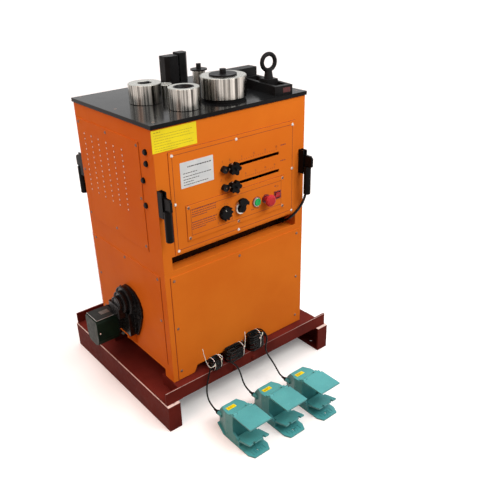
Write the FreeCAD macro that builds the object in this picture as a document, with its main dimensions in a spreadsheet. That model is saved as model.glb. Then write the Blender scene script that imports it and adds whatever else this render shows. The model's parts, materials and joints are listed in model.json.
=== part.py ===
import FreeCAD, Part
import math
import os
import re

import Sketcher

Vector = FreeCAD.Vector
Rotation = FreeCAD.Rotation

doc = FreeCAD.newDocument("RebarCutterBender")
sheet = doc.addObject("Spreadsheet::Sheet", "Sizes")

# Origin: middle of the skid, on the floor. X to the right, Y to the back, Z up. Millimetres.

# Skid: two channel runners, two angle rails with one leg upright, a deck and a rear bearer
SKID = {
    "skid_width": 744,
    "skid_depth": 670,
    "channel_height": 100,
    "channel_flange": 48,
    "channel_wall": 6,
    "rail_front_setback": 13,
    "rail_back_setback": 6,
    "rail_end_setback": 3,
    "rail_step_left": 51,
    "rail_step_right": 49,
    "deck_thickness": 4,
    "deck_end_gap": 1,
    "bearer_length": 636,
    "bearer_setback": 117,
    "floor_bolt_radius": 7,
    "floor_bolt_end": 60,
}

# Cabinet: base frame, upper shell, table plate and the sheets on them
CABINET = {
    "cab_width": 580,
    "cab_depth": 472,
    "cab_left": -314,
    "cab_front": -290,
    "base_height": 406,
    "shell_height": 452,
    "cab_wall": 3,
    "foot_depth": 50,
    "arch_height": 29,
    "arch_inset_left": 82,
    "arch_inset_right": 166,
    "arch_slant": 15,
    "panel_thickness": 2,
    "panel_lap": 20,
    "post_left": 20,
    "post_right": 16,
    "panel_foot_gap": 3,
    "panel_head_gap": 14,
    "side_panel_front": 28,
    "side_panel_back": 17,
    "side_panel_foot": 60,
    "vent_front": 77,
    "vent_back": 9,
    "vent_foot": 55,
    "vent_head": 49,
    "control_left": 46,
    "control_right": 43,
    "control_foot": 58,
    "control_head": 74,
    "recess_left": 32,
    "recess_right": 34,
    "recess_foot": 7,
    "recess_height": 46,
    "recess_depth": 55,
    "table_thickness": 12,
    "table_overhang": 4,
    "rim_width": 30,
    "rim_back": 18,
    "gland_bar_setback": 26,
    "gland_bar_height": 60,
    "gland_bar_lift": 1,
}

# Screws and the loose fits that they share
SCREWS = {
    "screw_head_radius": 5,
    "screw_head_height": 2.6,
    "screw_crown_radius": 3,
    "screw_shank_radius": 2,
    "screw_shank_length": 8,
    "screw_play": 0.15,
    "running_play": 0.05,
    "sliding_play": 0.3,
    "seat_gap": 0.2,
    "washer_gap": 0.4,
    "panel_screw_inset": 12,
    "screw_top_drop": 15,
    "screw_middle_height": 202,
    "screw_low_height": 35,
    "side_screw_low": 40,
    "side_screw_back_middle": 240,
    "side_screw_front_middle": 228,
    "panel_screw_corner": 9,
    "vent_screw_front": 10,
    "vent_screw_foot": 16,
    "switch_screw_rise": 8,
    "table_screw_front": 25,
    "table_screw_left": 24,
    "plug_radius": 9,
    "plug_height": 7,
    "plug_edge": 3,
    "plug_stem_radius": 6,
    "plug_stem_spare": 2,
    "plug_one_inward": 41,
    "plug_one_drop": 71,
    "plug_two_inward": 41,
    "plug_two_drop": 105,
    "plug_three_inward": 66,
    "plug_three_drop": 161,
    "plug_four_inward": 65,
    "plug_four_drop": 239,
}

# Drive: side gearbox, motor and the train under the table
DRIVE = {
    "gear_y": -47,
    "gear_z": 367,
    "gear_step_radius": 52,
    "gear_step_fall": 13,
    "gear_step_length": 15,
    "casting_width": 244,
    "casting_height": 181,
    "casting_front": 86,
    "casting_flange": 8,
    "casting_block_reach": 58,
    "casting_block_front": 20,
    "casting_block_back": 46,
    "casting_block_foot": 52,
    "casting_block_head": 4,
    "motor_shift": 92,
    "motor_drop": 128,
    "motor_width": 84,
    "motor_height": 108,
    "motor_corner": 26,
    "motor_reach": 116,
    "motor_wall": 6,
    "motor_cover": 3,
    "motor_cover_inset": 6,
    "motor_shoulder": 12,
    "window_front_gap": 18,
    "window_back_gap": 14,
    "window_head_gap": 12,
    "adapter_length": 30,
    "adapter_rim": 6,
    "adapter_depth": 20,
    "bearing_wall": 6,
    "bearing_length": 10,
    "brush_cap_place": 9,
    "brush_cap_height": 57,
    "brush_cap_radius": 5,
    "brush_cap_stand": 2,
    "rotor_gap": 0.5,
    "rotor_place": 14,
    "rotor_radius": 26,
    "rotor_length": 46,
    "motor_shaft_radius": 6,
    "bracket_width": 52,
    "bracket_reach": 34,
    "bracket_lead": 15,
    "bracket_tip": 14,
    "sheet_gap": 1,
    "gusset_lift": 10,
    "casing_left": 44,
    "casing_right": 46,
    "casing_back": 120,
    "casing_height": 150,
    "casing_wall": 8,
    "drive_shaft_radius": 14,
    "pinion_radius": 29,
    "wheel_radius": 88,
    "gear_face": 20,
    "wheel_drop": 120,
    "tooth_gap": 0.6,
    "spindle_radius": 24,
    "spindle_tail": 50,
    "boss_wall": 14,
    "boss_drop": 30,
    "boss_length": 60,
    "shaft_seat_drop": 22,
    "shaft_head": 8,
    "post_wall": 12,
    "post_gap": 20,
}

# Bending head on the table
BENDING = {
    "former_x": 20,
    "former_y": -182,
    "former_radius": 71.7,
    "former_height": 64,
    "disc_radius": 68,
    "disc_height": 8,
    "arm_reach": 126,
    "arm_width": 52,
    "pin_radius": 10,
    "pin_rise": 14,
    "washer_radius": 43,
    "washer_height": 4,
    "roller_radius": 20,
    "roller_washer_radius": 27,
    "roller_pin_radius": 8,
    "roller_head_drop": 2,
    "pin_seat_rise": 60,
    "loose_one_x": -176,
    "loose_one_y": -44,
    "loose_one_radius": 51.5,
    "loose_one_height": 58.6,
    "loose_one_bore": 21.5,
    "loose_two_x": -135,
    "loose_two_y": -194,
    "loose_two_radius": 47.2,
    "loose_two_height": 62.6,
    "loose_two_bore": 31,
    "loose_three_x": -98,
    "loose_three_y": -36,
    "loose_three_radius": 22,
    "loose_three_height": 42,
    "loose_three_rim": 8,
    "loose_three_bore": 9,
    "loose_three_waist": 4,
    "former_edge": 2,
}

# Cutter at the back of the table and the fence at its right
CUTTER = {
    "fixed_jaw_x": 80,
    "fixed_jaw_y": 140,
    "fixed_jaw_width": 38,
    "fixed_jaw_depth": 40,
    "fixed_jaw_height": 94,
    "cut_gap": 6,
    "moving_jaw_width": 52,
    "moving_jaw_depth": 46,
    "moving_jaw_height": 88,
    "jaw_bevel": 12,
    "jaw_travel": 30,
    "jaw_key_width": 22,
    "jaw_key_depth": 18,
    "jaw_key_drop": 30,
    "jaw_lead": 6,
    "blade_length": 34,
    "blade_height": 40,
    "blade_thickness": 8,
    "blade_inset": 3,
    "blade_rise": 12,
    "blade_proud": 2,
    "fence_length": 138,
    "fence_end_gap": 16,
    "fence_y": -72,
    "fence_depth": 42,
    "fence_height": 52,
    "track_inward": 113.5,
    "track_y": -273,
    "track_width": 66,
    "track_height": 27,
    "track_length": 200,
    "track_wall": 12,
    "track_end": 16,
    "track_floor": 8,
    "track_angle": -7.5,
    "track_slider_length": 46,
    "track_slider_rise": 10,
    "track_slider_place": 62,
    "eye_radius": 31.5,
    "eye_hole": 18,
    "eye_rise": 28,
    "eye_neck": 15,
    "eye_neck_height": 22,
    "eye_neck_sink": 2,
    "eye_thread": 8,
    "eye_thread_floor": 10,
}

# Controls on the front
CONTROLS = {
    "switch_inset": 47,
    "switch_rise": 31,
    "switch_height": 115,
    "switch_window_inset": 15,
    "slot_inset_left": 194,
    "slot_inset_right": 71,
    "slot_height": 10,
    "upper_slot_drop": 168,
    "lower_slot_drop": 226.5,
    "stop_place": 27,
    "stop_block": 18,
    "stop_back": 8,
    "stop_back_half": 12,
    "stop_stud": 4,
    "stop_stud_proud": 8,
    "stop_washer": 3,
    "pointer_reach": 40,
    "pointer_boss_place": 28,
    "pointer_boss": 11,
    "pointer_boss_length": 13,
    "pointer_half": 3,
    "star_radius": 21,
    "star_hub": 9,
    "star_thickness": 13,
    "star_standoff": 15,
    "star_lobes": 5,
    "star_lobe_radius": 7,
    "control_row_rise": 54,
    "speed_share": 0.36,
    "speed_radius": 23,
    "speed_length": 13,
    "speed_flute": 5,
    "speed_shaft": 3,
    "speed_barrel": 6,
    "speed_tab": 4,
    "selector_share": 0.514,
    "selector_ring": 20,
    "selector_ring_height": 8,
    "selector_socket": 6,
    "selector_rotor": 13,
    "selector_barrel": 11,
    "selector_height": 9,
    "selector_arm": 26,
    "selector_arm_half": 5,
    "selector_arm_tail": 5,
    "selector_tilt": -50,
    "start_share": 0.688,
    "start_ring": 15,
    "start_ring_height": 6,
    "start_button": 11.5,
    "start_rise": 9,
    "button_barrel": 12,
    "button_tail": 8,
    "stop_button_share": 0.788,
    "mushroom_radius": 20,
    "mushroom_height": 12,
    "mushroom_edge": 2,
    "mushroom_stem": 9,
    "mushroom_ring": 15,
    "mushroom_ring_height": 5,
    "mushroom_standoff": 21,
    "rocker_share": 0.918,
    "rocker_width": 29,
    "rocker_height": 28,
    "rocker_rim": 3,
    "rocker_wall": 1.5,
    "rocker_lip": 2,
    "rocker_side_gap": 0.5,
    "rocker_end_gap": 3.2,
    "rocker_tilt": 3,
    "rocker_hull": 8,
    "rocker_pivot_depth": 2,
    "rocker_pivot_radius": 1.5,
    "shaft_end_gap": 3,
    "switch_depth": 26,
}

# Fold-down carrying handles
HANDLES = {
    "handle_inset_left": 9,
    "handle_inset_right": 16,
    "bracket_thickness": 17,
    "bracket_depth": 23.5,
    "bracket_foot": 196,
    "bracket_drop": 176,
    "bracket_cheek": 4,
    "handle_pivot_y": 15,
    "handle_pivot_drop": 23,
    "handle_pin": 4,
    "handle_nose": 57,
    "grip_radius": 12,
    "grip_length": 97,
    "grip_standoff": 36,
    "knuckle_height": 40,
    "knuckle_head": 8,
    "knuckle_heel": 6,
    "knuckle_heel_drop": 7,
    "knuckle_toe": 4,
    "grip_edge": 2,
}

# Foot switches on the floor
PEDALS = {
    "pedal_one_x": -203.5,
    "pedal_one_y": -608,
    "pedal_two_x": -56.5,
    "pedal_two_y": -617,
    "pedal_three_x": 83.5,
    "pedal_three_y": -630,
    "pedal_width": 83,
    "pedal_length": 204,
    "pedal_sole": 5,
    "pedal_nose": 22,
    "body_start": 98,
    "body_height": 108,
    "body_taper": 150,
    "body_tail": 36,
    "body_end_gap": 4,
    "body_skin": 1,
    "body_plan_taper": 14,
    "body_crown": 6,
    "body_crown_drop": 4,
    "body_slope_place": 16,
    "body_slope_drop": 7,
    "body_tail_lean": 8,
    "body_tail_drop": 40,
    "sole_tail_rim": 6,
    "cheek_height": 34,
    "cheek_reach": 30,
    "cheek_wall": 7,
    "cheek_nose": 12,
    "cheek_rise": 10,
    "cheek_lap": 2,
    "treadle_width": 81,
    "treadle_neck": 66,
    "treadle_reach": 84,
    "treadle_front": 50,
    "treadle_plate": 6,
    "treadle_pivot_z": 24,
    "treadle_pivot_lead": 16,
    "treadle_barrel": 7,
    "treadle_knee": 3,
    "treadle_notch": 8,
    "treadle_notch_depth": 9,
    "pedal_pin": 3,
    "pedal_pin_inset": 4,
    "guard_width": 88,
    "guard_reach": 91,
    "guard_top": 121,
    "guard_plate": 5,
    "guard_barrel": 7,
    "guard_boss": 14,
    "guard_pivot_lead": 2,
    "guard_lug_reach": 14,
    "guard_lug_drop": 20,
    "guard_gap": 1,
    "gland_radius": 7,
    "gland_length": 10,
    "gland_root": 14,
    "gland_z": 58,
    "gland_offset": -27,
}

# Cords: diameters and the coils that put their length away
CORDS = {
    "pedal_cord": 5.6,
    "mains_cord": 9,
    "cord_play": 0.4,
    "coil_pitch": 6.4,
    "coil_depth": 38.6,
    "mains_coil_radius": 46.5,
    "mains_coil_outward": 54,
    "mains_coil_y": 50,
    "mains_coil_turns": 5.5,
    "mains_lead_in": 34,
    "mains_coil_pitch": 9.8,
    "plug_body_length": 46,
    "plug_body_radius": 13.5,
    "plug_pin_radius": 2.4,
    "plug_pin_length": 19,
    "plug_pin_spread": 7,
    "plug_pin_root": 4,
    "plug_front_edge": 3,
    "plug_grip_share": 0.45,
    "gland_boss_radius": 8,
    "gland_boss_length": 4,
    "gland_boss_inward": 66,
    "gland_boss_rise": 18,
}

# Places that follow from the sizes above
DERIVED = {
    "rail_top": "channel_height + channel_flange",
    "deck_top": "channel_height + deck_thickness",
    "rail_half": "skid_width / 2 - rail_end_setback",
    "front_rail_y": "rail_front_setback - skid_depth / 2",
    "back_rail_y": "skid_depth / 2 - rail_back_setback - channel_height",
    "cab_right": "cab_left + cab_width",
    "cab_back": "cab_front + cab_depth",
    "base_top": "rail_top + base_height",
    "shell_top": "base_top + shell_height",
    "table_top": "shell_top + table_thickness",
    "inner_left": "cab_left + cab_wall",
    "inner_right": "cab_right - cab_wall",
    "inner_front": "cab_front + cab_wall",
    "inner_back": "cab_back - cab_wall",
    "recess_back": "cab_front + recess_depth",
    "face_front": "cab_front - panel_thickness",
    "face_switch": "cab_front - 2 * panel_thickness",
    "drill_radius": "screw_shank_radius + screw_play",
    "disc_top": "table_top + disc_height",
    "former_top": "disc_top + former_height",
    "shaft_y": "former_y + wheel_radius + pinion_radius + tooth_gap",
    "wheel_z": "shell_top - wheel_drop",
    "casing_top": "base_top + casing_height",
    "arch_left": "cab_left + arch_inset_left",
    "arch_right": "cab_right - arch_inset_right",
    "motor_y": "gear_y + motor_shift",
    "motor_z": "gear_z - motor_drop",
    "fence_right": "cab_right - fence_end_gap",
    "fence_left": "fence_right - fence_length",
    "track_x": "cab_right - track_inward",
    "control_left_x": "cab_left + control_left",
    "control_right_x": "cab_right - control_right",
    "switch_left": "control_left_x + switch_inset",
    "switch_right": "control_right_x - switch_inset",
    "switch_width": "switch_right - switch_left",
    "switch_foot": "base_top + control_foot + switch_rise",
    "switch_head": "switch_foot + switch_height",
    "control_row_z": "switch_foot + control_row_rise",
    "speed_x": "switch_left + speed_share * switch_width",
    "selector_x": "switch_left + selector_share * switch_width",
    "start_x": "switch_left + start_share * switch_width",
    "stop_button_x": "switch_left + stop_button_share * switch_width",
    "rocker_x": "switch_left + rocker_share * switch_width",
    "slot_left": "control_left_x + slot_inset_left",
    "slot_right": "control_right_x - slot_inset_right",
    "stop_x": "slot_left + stop_place",
    "upper_slot_z": "shell_top - upper_slot_drop",
    "lower_slot_z": "shell_top - lower_slot_drop",
    "handle_left_x": "cab_left + handle_inset_left",
    "handle_right_x": "cab_right - handle_inset_right",
    "gland_boss_x": "cab_right - gland_boss_inward",
    "gland_boss_z": "base_top + gland_boss_rise",
    "mains_coil_x": "cab_right + mains_coil_outward",
}


def fill_sheet():
    row = 1
    for group in (SKID, CABINET, SCREWS, DRIVE, BENDING, CUTTER, CONTROLS, HANDLES, PEDALS, CORDS):
        for alias, value in group.items():
            sheet.set(f"A{row}", alias.replace("_", " "))
            sheet.set(f"B{row}", str(value))
            sheet.setAlias(f"B{row}", alias)
            row += 1
    for alias, formula in DERIVED.items():
        sheet.set(f"A{row}", alias.replace("_", " "))
        sheet.set(f"B{row}", "=" + formula)
        sheet.setAlias(f"B{row}", alias)
        row += 1
    doc.recompute()


fill_sheet()
ALIASES = set(SKID) | set(CABINET) | set(SCREWS) | set(DRIVE) | set(BENDING) | set(CUTTER)
ALIASES |= set(CONTROLS) | set(HANDLES) | set(PEDALS) | set(CORDS) | set(DERIVED)


def formula(text):
    def named(match):
        word = match.group(0)
        return "Sizes." + word if word in ALIASES else word

    return re.sub(r"[A-Za-z_][A-Za-z_0-9]*", named, str(text))


def number(text):
    return float(sheet.evalExpression(formula(text)))


def bind(thing, prop, text):
    thing.setExpression(prop, formula(text))


def place(thing, x="0", y="0", z="0", axis=None, angle=None):
    if axis is not None:
        thing.Placement = FreeCAD.Placement(Vector(), Rotation(axis, number(angle)))
        bind(thing, "Placement.Rotation.Angle", angle)
    bind(thing, "Placement.Base.x", x)
    bind(thing, "Placement.Base.y", y)
    bind(thing, "Placement.Base.z", z)
    return thing


def box(x_range, y_range, z_range):
    solid = doc.addObject("Part::Box", "Block")
    sides = (("Length", x_range), ("Width", y_range), ("Height", z_range))
    for prop, (low, high) in sides:
        bind(solid, prop, f"({high}) - ({low})")
    return place(solid, x_range[0], y_range[0], z_range[0])


TURNS = {
    "x": Rotation(Vector(0, 1, 0), 90),
    "-x": Rotation(Vector(0, 1, 0), -90),
    "y": Rotation(Vector(1, 0, 0), -90),
    "z": Rotation(),
}


def rod(axis, start, radius, length):
    solid = doc.addObject("Part::Cylinder", "Rod")
    solid.Placement = FreeCAD.Placement(Vector(), TURNS[axis])
    bind(solid, "Radius", radius)
    bind(solid, "Height", length)
    return place(solid, *start)


def cone(axis, start, radius, end_radius, length):
    solid = doc.addObject("Part::Cone", "Taper")
    solid.Placement = FreeCAD.Placement(Vector(), TURNS[axis])
    bind(solid, "Radius1", radius)
    bind(solid, "Radius2", end_radius)
    bind(solid, "Height", length)
    return place(solid, *start)


def join(*parts):
    if len(parts) == 1:
        return parts[0]
    whole = doc.addObject("Part::MultiFuse", "Join")
    whole.Shapes = list(parts)
    whole.Refine = True
    return whole


def cut(base, *tools):
    result = doc.addObject("Part::Cut", "Cut")
    result.Base = base
    result.Tool = join(*tools)
    return result


def common(base, tool):
    result = doc.addObject("Part::Common", "Common")
    result.Base = base
    result.Tool = tool
    return result


def group(*parts):
    result = doc.addObject("Part::Compound", "Group")
    result.Links = list(parts)
    return result


def origin_plane(body, role):
    return [plane for plane in body.Origin.OriginFeatures if plane.Role == role][0]


def outline(body, role, points):
    sketch = body.newObject("Sketcher::SketchObject", "Outline")
    sketch.AttachmentSupport = [(origin_plane(body, role), "")]
    sketch.MapMode = "FlatFace"
    corners = [Vector(number(a), number(b), 0) for a, b in points]
    count = len(corners)
    for index in range(count):
        sketch.addGeometry(Part.LineSegment(corners[index], corners[(index + 1) % count]))
    for index in range(count):
        sketch.addConstraint(Sketcher.Constraint("Coincident", index, 2, (index + 1) % count, 1))
    for index, (a, b) in enumerate(points):
        for kind, text, value in (("DistanceX", a, corners[index].x), ("DistanceY", b, corners[index].y)):
            mark = sketch.addConstraint(Sketcher.Constraint(kind, -1, 1, index, 1, value))
            bind(sketch, f"Constraints[{mark}]", text)
    return sketch


PLANES = {"x": "YZ_Plane", "y": "XZ_Plane", "z": "XY_Plane"}


def pad(axis, points, low, high):
    body = doc.addObject("PartDesign::Body", "Profile")
    feature_sketch = outline(body, PLANES[axis], points)
    feature = body.newObject("PartDesign::Pad", "Pad")
    feature.Profile = feature_sketch
    feature.Reversed = axis == "y"
    bind(feature, "Length", f"({high}) - ({low})")
    body.Tip = feature
    start = {"x": "0", "y": "0", "z": "0"}
    start[axis] = low
    return place(body, start["x"], start["y"], start["z"])


def turned(points, start, axis="z"):
    body = doc.addObject("PartDesign::Body", "Turned")
    profile = outline(body, "XZ_Plane", points)
    feature = body.newObject("PartDesign::Revolution", "Turn")
    feature.Profile = profile
    feature.ReferenceAxis = (profile, ["V_Axis"])
    feature.Angle = 360
    body.Tip = feature
    body.Placement = FreeCAD.Placement(Vector(), TURNS[axis])
    return place(body, *start)


def ring(outer, bore, height, edge):
    # Half section of a bush with its two outer corners broken
    return [
        (bore, "0"),
        (f"{outer} - {edge}", "0"),
        (outer, edge),
        (outer, f"{height} - {edge}"),
        (f"{outer} - {edge}", height),
        (bore, height),
    ]


NODES = []


def node(name, thing):
    thing.Label = name
    NODES.append((name, thing))
    return thing


# Screws: a low dome head outside a sheet and a shank through it
screws = []


def screw(side, a, b, base, reach="screw_shank_length"):
    # side is the face that it enters: front, left, right, back or top
    head = {
        "front": ("y", (a, f"{base} - screw_head_height", b), "grow"),
        "back": ("y", (a, base, b), "shrink"),
        "left": ("x", (f"{base} - screw_head_height", a, b), "grow"),
        "right": ("x", (base, a, b), "shrink"),
    }
    axis, start, way = head[side]
    radii = ("screw_crown_radius", "screw_head_radius")
    if way == "shrink":
        radii = radii[::-1]
    cap = cone(axis, start, *radii, "screw_head_height")
    outward = side in ("back", "right")
    shank_start = f"{base} - {reach}" if outward else base
    spot = (a, shank_start, b) if axis == "y" else (shank_start, a, b)
    screws.append(join(cap, rod(axis, spot, "screw_shank_radius", reach)))
    return rod(axis, spot, "drill_radius", reach)


def screw_rows(side, columns, rows, base):
    return [screw(side, a, b, base) for a in columns for b in rows]


def skid():
    def runner(outer, inner, web):
        low, high = sorted((outer, inner), key=number)
        clear = sorted((web, inner), key=number)
        block = box((low, high), ("0 - skid_depth / 2", "skid_depth / 2"), ("0", "channel_height"))
        hollow = box(
            clear,
            ("channel_wall - skid_depth / 2", "skid_depth / 2 - channel_wall"),
            ("channel_wall", "channel_height - channel_wall"),
        )
        middle = f"({outer} + ({inner})) / 2"
        bolts = [
            rod("z", (middle, f"{sign} * (skid_depth / 2 - floor_bolt_end)", "0"),
                "floor_bolt_radius", "channel_wall")
            for sign in ("1", "-1")
        ]
        return cut(block, hollow, *bolts)

    edge = "skid_width / 2"
    left_lip = f"channel_flange - {edge}"
    right_lip = f"{edge} - channel_flange"
    left = runner(f"0 - {edge}", left_lip, f"channel_wall - {edge}")
    right = runner(edge, right_lip, f"{edge} - channel_wall")
    node("skid_runners", group(left, right))

    def raised(low, high, front, foot):
        # Box of plate that carries the cabinet's feet, and its inside, open below
        block = box((low, high), (front, f"{front} + channel_height"), (foot, "rail_top"))
        hollow = box(
            (f"{low} + channel_wall", f"{high} - channel_wall"),
            (f"{front} + channel_wall", f"{front} + channel_height - channel_wall"),
            (foot, "rail_top - channel_wall"),
        )
        return block, hollow

    def angle(front, upright):
        # Angle section across both runners, one leg flat on them and the other upright
        length = ("0 - rail_half", "rail_half")
        flat_leg = box(
            length, (front, f"{front} + channel_height"),
            ("channel_height", "channel_height + channel_wall"))
        upright_leg = box(length, (upright, f"{upright} + channel_wall"), ("channel_height", "rail_top"))
        return join(flat_leg, upright_leg)

    step, step_inside = raised(
        "rail_step_left - rail_half", "rail_half - rail_step_right", "front_rail_y", "channel_height")
    bearer_front = "skid_depth / 2 - bearer_setback - rail_back_setback - channel_height"
    node("cross_rails", group(
        cut(join(angle("front_rail_y", "front_rail_y"), step), step_inside),
        angle("back_rail_y", "back_rail_y + channel_height - channel_wall"),
        cut(*raised("0 - bearer_length / 2", "bearer_length / 2", bearer_front, "deck_top")),
    ))
    node("deck_plate", box(
        ("0 - rail_half", "rail_half"),
        ("front_rail_y + channel_height + deck_end_gap", "back_rail_y - deck_end_gap"),
        ("channel_height", "deck_top"),
    ))


def base_cabinet():
    shell = box(("cab_left", "cab_right"), ("cab_front", "cab_back"), ("rail_top", "base_top"))
    hollow = box(
        ("inner_left", "inner_right"),
        ("inner_front", "inner_back"),
        ("rail_top", "base_top - cab_wall"),
    )
    panel_x = ("cab_left + post_left", "cab_right - post_right")
    panel_z = ("rail_top + panel_foot_gap", "base_top - panel_head_gap")
    window_z = ("rail_top + arch_height + panel_lap", f"{panel_z[1]} - panel_lap")
    lap_x = (f"{panel_x[0]} + panel_lap", f"{panel_x[1]} - panel_lap")
    arch = pad(
        "y",
        [
            ("arch_left", "rail_top"),
            ("arch_right", "rail_top"),
            ("arch_right - arch_slant", "rail_top + arch_height"),
            ("arch_left + arch_slant", "rail_top + arch_height"),
        ],
        "face_front", "inner_front",
    )
    front_window = box(lap_x, ("cab_front", "inner_front"), window_z)
    back_window = box(lap_x, ("inner_back", "cab_back"), window_z)
    side_y = ("cab_front + side_panel_front", "cab_back - side_panel_back")
    side_z = ("rail_top + side_panel_foot", "base_top - panel_head_gap")
    side_lap = (f"{side_y[0]} + panel_lap", f"{side_y[1]} - panel_lap")
    side_window = box(
        ("cab_left", "cab_right"), side_lap, (f"{side_z[0]} + panel_lap", f"{side_z[1]} - panel_lap"))
    side_arch = box(
        ("cab_left", "cab_right"),
        ("cab_front + foot_depth", "cab_back - foot_depth"),
        ("rail_top", "rail_top + arch_height"),
    )
    back_arch = box(
        ("cab_left + foot_depth", "cab_right - foot_depth"),
        ("inner_back", "cab_back"),
        ("rail_top", "rail_top + arch_height"),
    )
    motor_y_range = (
        "motor_y - motor_width / 2 - window_front_gap", "motor_y + motor_width / 2 + window_back_gap")
    motor_window = box(
        ("cab_left - panel_thickness", "inner_left"), motor_y_range,
        ("rail_top", "motor_z + motor_height / 2 + window_head_gap"))
    inset = "panel_screw_inset"
    panel_middle = f"({panel_x[0]} + {panel_x[1]}) / 2"
    high_row = f"{panel_z[1]} - screw_top_drop"
    low_row = "rail_top + screw_low_height"
    front_drills = screw_rows(
        "front",
        (f"{panel_x[0]} + {inset}", f"{panel_x[1]} - {inset}"),
        (high_row, "rail_top + screw_middle_height", low_row),
        "face_front",
    )
    front_drills += screw_rows("front", (panel_middle,), (high_row, low_row), "face_front")
    back_drills = screw_rows(
        "back",
        (f"{panel_x[0]} + {inset}", f"{panel_x[1]} - {inset}"),
        (f"{panel_z[1]} - screw_top_drop", "rail_top + screw_middle_height", f"{side_z[0]} + {inset}"),
        "cab_back + panel_thickness",
    )
    left_screws = (
        (f"{side_y[1]} - {inset}", f"{side_z[0]} + side_screw_low"),
        (f"{side_y[1]} - {inset}", f"{side_z[1]} - panel_screw_corner"),
        (f"{side_y[1]} - {inset}", "rail_top + side_screw_back_middle"),
        (f"({side_y[0]} + {side_y[1]}) / 2", f"{side_z[1]} - {inset}"),
        (f"{side_y[0]} + {inset}", f"{side_z[1]} - {inset}"),
        (f"{side_y[0]} + {inset}", "rail_top + side_screw_front_middle"),
    )
    left_drills = [screw("left", a, b, "cab_left - panel_thickness") for a, b in left_screws]
    right_drills = [screw("right", a, b, "cab_right + panel_thickness") for a, b in left_screws]
    drills = front_drills + back_drills + left_drills + right_drills
    frame = cut(shell, hollow, arch, front_window, back_window, side_window, side_arch, back_arch,
                motor_window, *drills)
    gland_bar = box(
        ("inner_left", "inner_right"),
        ("cab_front + gland_bar_setback", "cab_front + gland_bar_setback + cab_wall"),
        ("rail_top + gland_bar_lift", "rail_top + gland_bar_height"),
    )
    gusset = pad(
        "y",
        [
            ("cab_left", "rail_top + arch_height + gusset_lift"),
            ("cab_left", "motor_z"),
            ("cab_left - bracket_reach", "motor_z"),
            ("cab_left - bracket_reach", "motor_z - bracket_tip"),
        ],
        "gear_y - bracket_lead", "gear_y - bracket_lead + cab_wall",
    )
    shelf = box(
        ("cab_left - bracket_reach", "cab_left"),
        ("gear_y - bracket_lead", "gear_y - bracket_lead + bracket_width"),
        ("motor_z - cab_wall", "motor_z"),
    )
    node("base_frame", join(frame, gland_bar, gusset, shelf))

    front_sheet = box(panel_x, ("face_front", "cab_front"), panel_z)
    node("base_front_panel", cut(front_sheet, arch, *front_drills))
    left_sheet = box(("cab_left - panel_thickness", "cab_left"), side_y, side_z)
    right_sheet = box(("cab_right", "cab_right + panel_thickness"), side_y, side_z)
    back_sheet = box(panel_x, ("cab_back", "cab_back + panel_thickness"), side_z)
    gusset_slot = box(
        ("cab_left - panel_thickness", "cab_left"),
        ("gear_y - bracket_lead - sheet_gap", "motor_y"),
        ("rail_top", "motor_z + sheet_gap"),
    )
    node("side_panels", group(
        cut(left_sheet, motor_window, gusset_slot, *left_drills),
        cut(right_sheet, *right_drills),
        cut(back_sheet, *back_drills),
    ))


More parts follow.
